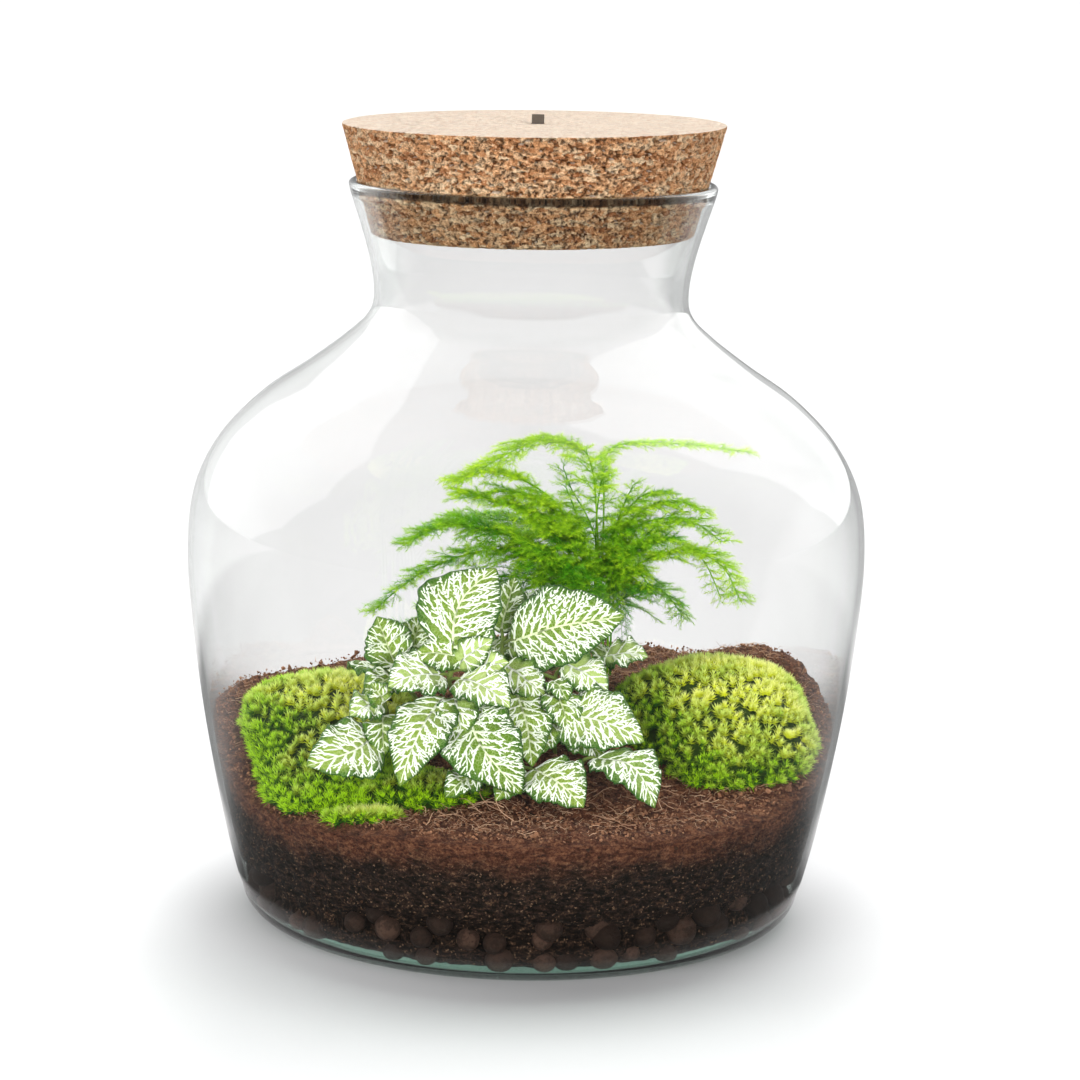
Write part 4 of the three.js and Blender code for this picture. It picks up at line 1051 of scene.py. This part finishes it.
def make_moss(cushion, shapes):
    """A dark dome, and shoots spread over it by the golden turn. The fringe stands for no node."""
    name, cx, _, reach_x, reach_y, height, seed = cushion
    nodes = [] if name == MOSS_FRINGE else [name]
    point = moss_dome(cushion)
    bed = started(name + "_bed", bpy.ops.mesh.primitive_ico_sphere_add,
                  subdivisions=5 if reach_y > 12 else 3, radius=MM)
    unit = corners_of(bed)
    moved = np.array([point(*u) for u in unit])
    set_corners(bed, moved + (0.8 * grain(moved, 4, 2))[:, None] * unit * (unit[:, 2:] > 0))
    bpy.ops.object.shade_smooth()
    finished(bed, [MOSS_BED], "moss", *nodes)
    draw = random.Random(seed)
    area = math.pi * (reach_x * reach_y + (reach_x + reach_y) / 2 * height * 0.9)
    count = int(area / SHOOT_AREA)
    places = []
    for i in range(count):
        uz = 1 - (i + 0.5) / count * 1.04
        around = i * GOLDEN_TURN + draw.uniform(-0.35, 0.35)
        uz = max(-0.02, min(1, uz + draw.uniform(-0.01, 0.01)))
        flat = math.sqrt(max(0, 1 - uz * uz))
        ux, uy = flat * math.cos(around), flat * math.sin(around)
        at = point(ux, uy, max(uz, 0.001))
        out = Vector((ux / reach_x, uy / reach_y, uz / height)).normalized()
        out = (out + Vector((0, 0, 0.5)) + Vector([draw.uniform(-0.25, 0.25) for _ in range(3)])).normalized()
        size = draw.uniform(0.64, 1.0) * (1.15 if uz < 0.6 and cx < 0 else 1)
        patch = noise.noise(at / 14) * 0.6 + noise.noise(at / 4) * 0.3
        # Painted light and shade: shoots on top and on the right side are paler and shaded ones darker; the
        # patches and a random share are the moss's own tone.
        tone = 0.8 * uz + 0.3 * flat * math.cos(around) + patch + draw.uniform(-0.1, 0.3)
        tone = min(1, max(0, tone - moss_shade(cushion, around, flat)))
        shape = draw.choice(shapes)
        places.append((shape, placed(at, out, (size, size, size), draw.uniform(0, 6.3)), tone))
    finished(strewn(name + "_shoots", places), [MOSS], "moss", *nodes)


# The nerve plant

def leaf_edge(along, hand, phase):
    """The half width of a leaf one unit wide, from its base at 0 to its blunt tip at 1, with uneven lobes."""
    tiny = np.clip(along, 0.0005, 0.9995)
    outline = np.sin(math.pi * tiny ** 0.8) ** (0.64 + 0.24 * tiny ** 3)
    lobes = 0.04 * np.sin(along * 19 + phase + 2 * hand) + 0.025 * np.sin(along * 43 + 3 * phase - hand)
    return outline * (1 + lobes)


class LeafForm:
    """How one flat leaf is arched, bowed, folded, waved and quilted. Shares run -1 to 1 and 0 to 1."""

    def __init__(self, leaf, phase):
        _, base, tip, width, face, self.arch, self.bow, self.fold, self.white = leaf
        self.base, tip = Vector(base), Vector(tip)
        self.length, self.width, self.phase = (tip - self.base).length, width * 1.06, phase
        self.forward = (tip - self.base).normalized()
        self.side = self.forward.cross(Vector(face)).normalized()
        self.up = self.side.cross(self.forward)
        self.pairs = max(4, round(self.length / 3.5))

    def reach(self, along, hand):
        return np.maximum(0.12, self.width / 2 * leaf_edge(along, hand, self.phase))

    def sweep(self, start):
        """How far a side vein that starts there runs forward for each millimetre outwards."""
        return 0.5 + 0.9 * start

    def points(self, share, along):
        hand, away = np.sign(share), np.abs(share)
        across = share * self.reach(along, hand)
        outline = np.sin(math.pi * np.clip(along, 0.0005, 0.9995) ** 0.82) ** 0.66
        hump = np.sin(math.pi * along)
        start = along - np.abs(across) * self.sweep(along * 0.9) / self.length
        quilt = -0.28 * np.cos(2 * math.pi * (start * self.pairs + 0.25 * hand)) * smoothstep(away, 0, 0.25)
        quilt -= 0.5 * (1 - smoothstep(away, 0, 0.12))
        wave = 1.3 * np.sin(6 * math.pi * along + self.phase + share)
        ripple = (0.7 * np.sin(15 * math.pi * along + 2 * self.phase + 2 * hand)
                  + 0.35 * np.sin(31 * math.pi * along + self.phase * hand)) * away ** 3
        lift = self.arch * self.length * hump + away * outline * (self.fold * self.width + wave)
        lift += (ripple + quilt) * outline - 1.5 * away ** 6 * outline - 0.06 * self.length * along ** 4
        return (np.array(self.base) + np.outer(along * self.length, self.forward)
                + np.outer(across + self.bow * self.length * hump, self.side) + np.outer(lift, self.up))


def add_leaf_values(piece, share, form, tone):
    """For each vertex how near the leaf's edge it is, and the leaf's whiteness and tone."""
    for name, values in {"reach": np.abs(share), "white": form.white, "tone": tone}.items():
        add_values(piece, name, np.broadcast_to(values, len(share)))


def leaf_blade(form, tone):
    """A grid drawn into the leaf's form, and closed to a thin solid."""
    blade = started("nerve_leaf_blade", bpy.ops.mesh.primitive_grid_add, x_subdivisions=LEAF_COLUMNS,
                    y_subdivisions=LEAF_ROWS, size=2 * MM)
    grid = corners_of(blade)
    share = grid[:, 0]
    set_corners(blade, form.points(share, (grid[:, 1] + 1) / 2))
    add_leaf_values(blade, share, form, tone)
    blade.data.materials.append(LEAF)
    blade.data.materials.append(LEAF_UNDER)
    modified(blade, "SOLIDIFY", thickness=LEAF_THICKNESS * MM, offset=0, material_offset=1,
             material_offset_rim=0)
    bpy.ops.object.shade_smooth()
    return blade


def grow_veins(form, draw):
    """The leaf's veins as (points across and along in millimetres, width at each). A side vein forks forwards
    again and again, and each fork runs on until it meets another vein or the leaf's edge."""
    stout = 1 + 0.35 * form.white
    steps = np.linspace(0, 0.97, 30)
    midrib = np.stack([0.15 * np.sin(steps * 9 + form.phase), steps * form.length], axis=1)
    veins = [(midrib, (1.25 - 0.85 * steps) * stout)]
    taken = [midrib]

    def grow(at, heading, aim, first, last, hand, apart=0.6, turning=0.3):
        """A new vein that turns from its heading towards its aim, or None where it has no room."""
        points = [at]
        others = np.concatenate(taken)
        meets = draw.random() < 0.4
        while len(points) < 80:
            heading += (aim - heading) * turning + draw.uniform(-0.08, 0.08)
            at = at + VEIN_STEP * np.array([math.sin(heading), math.cos(heading)])
            along = at[1] / form.length
            edge = float(form.reach(along, np.sign(at[0]))) * 0.945
            if along > 0.985 or abs(at[0]) > edge or at[0] * hand < 0:
                break
            points.append(at)
            near = others[np.argmin(((others - at) ** 2).sum(axis=1))]
            if len(points) > 2 and math.dist(near, at) < min(apart, 0.2 * len(points) - 0.05):
                if meets:
                    points += [(at + near) / 2, near]
                break
        if len(points) < 4:
            return None
        points = np.array(points)
        veins.append((points, np.linspace(first, last, len(points))))
        taken.append(points)
        return points

    sides = []
    for pair in range(form.pairs + 1):
        for hand in (-1, 1):
            start = (pair + 0.4 - 0.2 * hand + draw.uniform(-0.12, 0.12)) / form.pairs
            if start > 0.93:
                continue
            aim = math.atan2(1, form.sweep(start) * draw.uniform(0.85, 1.1))
            heading = aim + 0.15
            if pair == 0:
                start, heading, aim = 0.04, heading + 0.25, aim + 0.2
            sides.append((np.array([0.05 * hand, start * form.length]), hand * heading, hand * aim, hand,
                          1.28 * stout * (1 - 0.3 * start)))
    grown = [(grow(at, heading, aim, thick, 0.48 * stout, hand), aim, hand)
             for at, heading, aim, hand, thick in sides]
    for level, (gap, wide, narrow) in enumerate(VEIN_FORKS):
        forks = []
        for points, aim, hand in grown:
            if points is None:
                continue
            reach, sign = gap * draw.uniform(0.5, 1.0), draw.choice([-1, 1])
            while reach < (len(points) - 1) * VEIN_STEP - 0.6:
                i = int(reach / VEIN_STEP)
                course = math.atan2(*(points[i + 1] - points[i - 1 if i else 0]))
                away = aim + sign * (0.1 + 0.1 * level)
                forks.append((points[i], course + sign * draw.uniform(0.5, 0.72), away, hand))
                reach += gap * draw.uniform(0.8, 1.25) / 2
                sign = -sign
        draw.shuffle(forks)
        grown = [(grow(at, heading, aim, wide * stout, narrow * stout, hand, 1.22, 0.14), aim, hand)
                 for at, heading, aim, hand in forks]
    return veins


def leaf_veins(form, tone, draw):
    """Low ridges along the veins, laid on the leaf's upper side."""
    rows, columns = LEAF_ROWS + 1, LEAF_COLUMNS + 1
    share, along = np.meshgrid(np.linspace(-1, 1, columns), np.linspace(0, 1, rows))
    lattice = form.points(share.ravel(), along.ravel()).reshape(rows, columns, 3)
    slope_across, slope_along = np.gradient(lattice, axis=1), np.gradient(lattice, axis=0)
    upward = np.cross(slope_across, slope_along)
    upward /= np.maximum(np.linalg.norm(upward, axis=2), 1e-9)[:, :, None]
    flat, lifts, faces, count = [], [], [], 0
    for points, widths in grow_veins(form, draw):
        course = np.gradient(points, axis=0)
        course /= np.linalg.norm(course, axis=1)[:, None]
        aside = np.stack([course[:, 1], -course[:, 0]], axis=1) * widths[:, None] / 2
        tip = points[-1] + course[-1] * widths[-1] * 0.8
        flat += [points - aside, points, points + aside, tip[None]]
        lifts += [np.full(len(points), -0.05), 0.07 + 0.1 * widths, np.full(len(points), -0.05), [0.0]]
        left, ridge, right = count, count + len(points), count + 2 * len(points)
        end, last = count + 3 * len(points), len(points) - 1
        for i in range(last):
            for here, there in ((left, ridge), (ridge, right), (right, left)):
                faces.append((here + i, here + i + 1, there + i + 1, there + i))
        faces += [(left + last, end, ridge + last), (ridge + last, end, right + last),
                  (right + last, end, left + last), (left, ridge, right)]
        count = end + 1
    flat, lifts = np.concatenate(flat), np.concatenate(lifts) + LEAF_THICKNESS / 2
    along = np.clip(flat[:, 1] / form.length, 0, 0.999)
    share = np.clip(flat[:, 0] / form.reach(along, np.sign(flat[:, 0])), -0.999, 0.999)
    across_at, along_at = (share + 1) / 2 * (columns - 1), along * (rows - 1)
    i, j = along_at.astype(int), across_at.astype(int)
    t, u = (along_at - i)[:, None], (across_at - j)[:, None]

    def between(field):
        return ((field[i, j] * (1 - u) + field[i, j + 1] * u) * (1 - t)
                + (field[i + 1, j] * (1 - u) + field[i + 1, j + 1] * u) * t)

    piece = mesh_piece("nerve_leaf_veins", between(lattice) + between(upward) * lifts[:, None],
                       np.concatenate(faces), np.array([len(face) for face in faces]))
    add_leaf_values(piece, share, form, tone)
    piece.data.materials.append(VEIN)
    take(piece)
    bpy.ops.object.shade_smooth()
    return piece


def make_nerve_stem(name, route, leaves, seed):
    """A stem with its leaves, their veins and their stalks, as one grown piece."""
    draw = random.Random(seed)
    line = smooth_line(planted(route), 8)
    places = even_line(line, 101)
    stems = [(even_line(line, 24), 1.1, 0.8)]
    blades = []
    for i, leaf in enumerate(leaves):
        form, tone = LeafForm(leaf, i * 1.7 + seed), draw.random()
        blades += [leaf_blade(form, tone), leaf_veins(form, tone, draw)]
        stalk_end = Vector(form.points(np.array([0.0]), np.array([0.06]))[0])
        root = Vector(places[round(leaf[0] * 100)])
        middle = (root + stalk_end) / 2 + Vector((0, 0, 0.8))
        stems.append((smooth_line([root, middle, stalk_end], 4), 0.7, 0.6))
    stalks = wires("nerve_stalks", stems, 8)
    stalks.data.materials.append(STEM)
    whole = joined(name + "_leafy", blades + [stalks])
    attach(whole, "root")
    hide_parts(name)


# The fern

def fern_sprigs(seed):
    """Small sprays of hair-fine needles in tufts along a thin stalk, to copy from."""
    draw = random.Random(seed)
    shapes = []
    for _ in range(5):
        pieces = [spike("sprig_stalk", 0.11, 0.03, SPRIG_LENGTH, (0, 0, SPRIG_LENGTH / 2 * MM))]
        for tuft in range(SPRIG_TUFTS):
            for _ in range(4):
                length = (4.4 - 0.22 * tuft) * draw.uniform(0.6, 1.15)
                tilt, lean = draw.uniform(-0.75, 0.75), draw.choice([-1, 1]) * draw.uniform(0.35, 1.1)
                turn = Euler((tilt, lean, 0)).to_matrix()
                middle = Vector((0, 0, 0.6 + tuft)) + turn @ Vector((0, 0, length / 2))
                pieces.append(spike("sprig_needle", NEEDLE_THICK, 0, length, middle * MM, turn.to_euler()))
        shapes.append(model_of(settle(joined("fern_sprig", pieces))))
    return shapes


def branch_sprigs(branch, reach, glow, share, spread, shapes, draw):
    """Places for sprigs along a branch, to the left and right in turn, and one ahead at its tip."""
    count = max(2, int(reach / BRANCH_GAP))
    stops = even_line(branch, count + 1)
    for i in range(count + 1):
        part = i / count
        ahead = (Vector(stops[min(i + 1, count)]) - Vector(stops[max(i - 1, 0)])).normalized()
        flat = ahead.cross(Vector((0, 0, 1))).normalized()
        lean = ahead * draw.uniform(0.7, 1.1) + flat * ((-1) ** i) * draw.uniform(0.5, 0.95)
        lean.z += draw.uniform(-0.3, 0.3)
        if i == count:
            lean = ahead
        size = (0.95 - 0.45 * part) * draw.uniform(0.75, 1.1) * (0.6 + 0.4 * spread / 20)
        tone = glow + 0.35 * (part - 0.4) + 0.3 * (share - 0.5) + draw.uniform(-0.1, 0.1)
        tone = min(1, max(0, tone))
        shape = draw.choice(shapes)
        yield shape, placed(Vector(stops[i]), lean, (size, size, size), draw.uniform(-0.5, 0.5)), tone


def make_frond(name, bare, spread, young, route, shapes, seed):
    """A stalk with branches to the left and right in turn, longest near the foot, set with sprigs."""
    draw = random.Random(seed)
    line = smooth_line(planted(route) if len(route[0]) == 2 else route, 8)
    length = float(np.linalg.norm(np.diff(line, axis=0), axis=1).sum())
    steps = int(length / BRANCH_GAP)
    rings = even_line(line, steps + 1)
    first = int(bare * steps)
    places, branches = [], []
    for ring in range(first, steps + 1):
        share = (ring - first) / (steps - first)
        root = Vector(rings[ring])
        forward = (Vector(rings[min(ring + 1, steps)]) - Vector(rings[min(ring, steps - 1)])).normalized()
        side = Vector((forward.y, -forward.x, 0)).normalized()
        hand = 1 if ring % 2 else -1
        heading = forward * draw.uniform(0.4, 1.0) + side * hand * draw.uniform(0.5, 1)
        heading.z = heading.z / 2 + draw.uniform(-0.8, 0.65) * (1.15 - young) * (1 - 0.4 * share)
        heading.normalize()
        reach = spread * max(0.15, (1 - share)) ** 0.6 * draw.uniform(0.6, 1.15) * min(1, 0.45 + share * 4)
        end = root + heading * reach + Vector((0, 0, -0.008 * reach * reach))
        glow = young * 0.95 + draw.uniform(-0.25, 0.3)
        middle = root + heading * reach / 2 + Vector((0, 0, 0.03 * reach))
        branch = smooth_line([root, middle, end], 4)
        branches.append((branch, 0.18, 0.09))
        places += branch_sprigs(branch, reach, glow, share, spread, shapes, draw)
    needles = strewn("fern_needles", places)
    stalks = wires("fern_stalks", [(rings, 0.5, 0.2)] + branches, 4)
    for value, amount in (("rise", 0.2), ("tone", young * 0.5)):
        add_values(stalks, value, np.full(len(stalks.data.vertices), amount))
    frond = joined(name + "_plume", [needles, stalks])
    finished(frond, [FERN], "fern_green", *([name] if name in FERN_FRONDS else []))


# The whole

make_jar()
make_stopper()
make_tab()
make_pebbles()
make_soil()
make_crumbs()
make_fibres()
star_shoots = moss_shoots(3)
for cushion in MOSS_CUSHIONS:
    make_moss(cushion, star_shoots)
for number, (stem_name, (stem_route, stem_leaves)) in enumerate(NERVE_STEMS.items()):
    make_nerve_stem(stem_name, stem_route, stem_leaves, 50 + number)
sprigs = fern_sprigs(9)
plumes = {**FERN_FRONDS, **{name: (SPRAY_BARE, *form) for name, form in FERN_SPRAYS.items()}}
for number, (plume_name, form) in enumerate(plumes.items()):
    make_frond(plume_name, *form, sprigs, 70 + number)


# The studio

# Where each panel is, its light on the plants, and how bright the glass mirrors it. A panel's place is its
# azimuth from the front and elevation in degrees, and its half sizes as seen from 1 m.
LEFT_PANEL = (-122, 26, 0.6, 0.6), 2.85, 0.65
RIGHT_PANEL = (145, 34, 0.5, 0.85), 2.5, 0.65
TOP_PANEL = (172, 62, 0.45, 0.45), 5.8, 0.0
WALL_LIGHT, WALL_SHINE = 0.18, 1.0
FILLS = [("left fill", -38, 14), ("right fill", 30, 15)]
FILL_DISTANCE, FILL_WIDTH, FILL_HEIGHT, FILL_POWER = 2.2, 1.6, 0.9, 46
FILL_MIDDLE = Vector((0, 0, 0.12))
CAMERA_PLACE, CAMERA_PITCH, CAMERA_ROLL = (0, -1.2572, 0.3879), 0.193, 0.020
CAMERA_LENS, CAMERA_SENSOR, CAMERA_SHIFT = 112.5, 36, 0.0126


def way_to(azimuth, elevation):
    """The way to a light at an azimuth from the front and an elevation, in degrees."""
    azimuth, elevation = math.radians(azimuth), math.radians(elevation)
    return Vector((math.sin(azimuth) * math.cos(elevation), -math.cos(azimuth) * math.cos(elevation),
                   math.sin(elevation)))


def make_floor():
    floor = started("studio_floor", bpy.ops.mesh.primitive_circle_add, vertices=96, radius=14,
                    fill_type="NGON")
    floor.data.materials.append(pale_floor())
    floor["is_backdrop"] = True


def fill_light(name, azimuth, elevation):
    """A soft light that the glass doesn't mirror."""
    lamp = bpy.data.lights.new(name, "AREA")
    lamp.shape = "RECTANGLE"
    lamp.size, lamp.size_y, lamp.energy = FILL_WIDTH, FILL_HEIGHT, FILL_POWER
    box, way = set_out(name, lamp), way_to(azimuth, elevation)
    box.location = FILL_MIDDLE + way * FILL_DISTANCE
    box.rotation_euler = way.to_track_quat("Z", "Y").to_euler()
    box.visible_glossy = box.visible_transmission = False


def panel(room, way, azimuth, elevation, across, up):
    """1 inside an eight-sided panel of the room, 0 outside. Its half sizes are as seen from 1 m."""
    middle = way_to(azimuth, elevation)
    aside = middle.cross(Vector((0, 0, 1))).normalized()
    near, x, y = (room.node("VectorMath", {0: way, 1: axis}, operation="DOT_PRODUCT").outputs["Value"]
                  for axis in (middle, aside, aside.cross(middle)))
    x, y = (room.math("DIVIDE", room.math("ABSOLUTE", room.math("DIVIDE", span, near)), half)
            for span, half in ((x, across), (y, up)))
    off = room.math("MAXIMUM", room.math("MAXIMUM", x, y), room.math("DIVIDE", room.plus(x, y), 1.42))
    facing = room.math("GREATER_THAN", near, 0.05)
    return room.times(facing, room.rest(room.step(off, 0.97, 1.03)))


def make_room():
    """A panel behind the jar at each side and one above, in a room that is dark in front."""
    world = bpy.data.worlds.new("studio_room")
    bpy.context.scene.world = world
    room = Nodes(world)
    way = room.node("TexCoord").outputs["Generated"]
    aside, back, up = room.node("SeparateXYZ", {0: way}).outputs
    mirrored = room.node("LightPath").outputs["Is Glossy Ray"]
    strength = 0.04
    for place, light, shine in (LEFT_PANEL, RIGHT_PANEL, TOP_PANEL):
        share = room.plus(light, room.times(mirrored, shine - light))
        strength = room.plus(strength, room.times(panel(room, way, *place), share))
    behind = room.step(room.plus(back, room.times(up, 0.3)), -0.1, 0.6)
    shine = room.times(room.step(room.math("ABSOLUTE", aside), -0.25, 0.5), WALL_SHINE)
    wall = room.plus(WALL_LIGHT, room.times(mirrored, room.math("SUBTRACT", shine, WALL_LIGHT)))
    strength = room.plus(strength, room.times(behind, wall))
    light = room.node("Background", {"Color": (1, 1, 1, 1), "Strength": strength})
    room.node("OutputWorld", {"Surface": light.outputs[0]})


def make_camera():
    """A long lens from the front and above, rolled a little."""
    data = bpy.data.cameras.new("camera")
    data.lens, data.sensor_width, data.shift_x = CAMERA_LENS, CAMERA_SENSOR, CAMERA_SHIFT
    camera = set_out("camera", data)
    ahead = Vector((0, math.cos(CAMERA_PITCH), -math.sin(CAMERA_PITCH)))
    right, up = Vector((1, 0, 0)), Vector((0, math.sin(CAMERA_PITCH), math.cos(CAMERA_PITCH)))
    across = math.cos(CAMERA_ROLL) * right + math.sin(CAMERA_ROLL) * up
    above = -math.sin(CAMERA_ROLL) * right + math.cos(CAMERA_ROLL) * up
    turn = Matrix((across, above, -ahead)).transposed()
    camera.matrix_world = Matrix.Translation(CAMERA_PLACE) @ turn.to_4x4()
    bpy.context.scene.camera = camera


make_floor()
make_room()
for fill in FILLS:
    fill_light(*fill)
make_camera()
bpy.context.scene.view_settings.view_transform = "Standard"
cycles = bpy.context.scene.cycles
cycles.max_bounces, cycles.transmission_bounces, cycles.transparent_max_bounces = 14, 12, 16
cycles.glossy_bounces, cycles.diffuse_bounces = 4, 3
cycles.caustics_reflective = cycles.caustics_refractive = False

boxes = {"cad": CAD_BOX, "visual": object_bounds()}
{name: [list(corner) for corner in box] for name, box in boxes.items()}
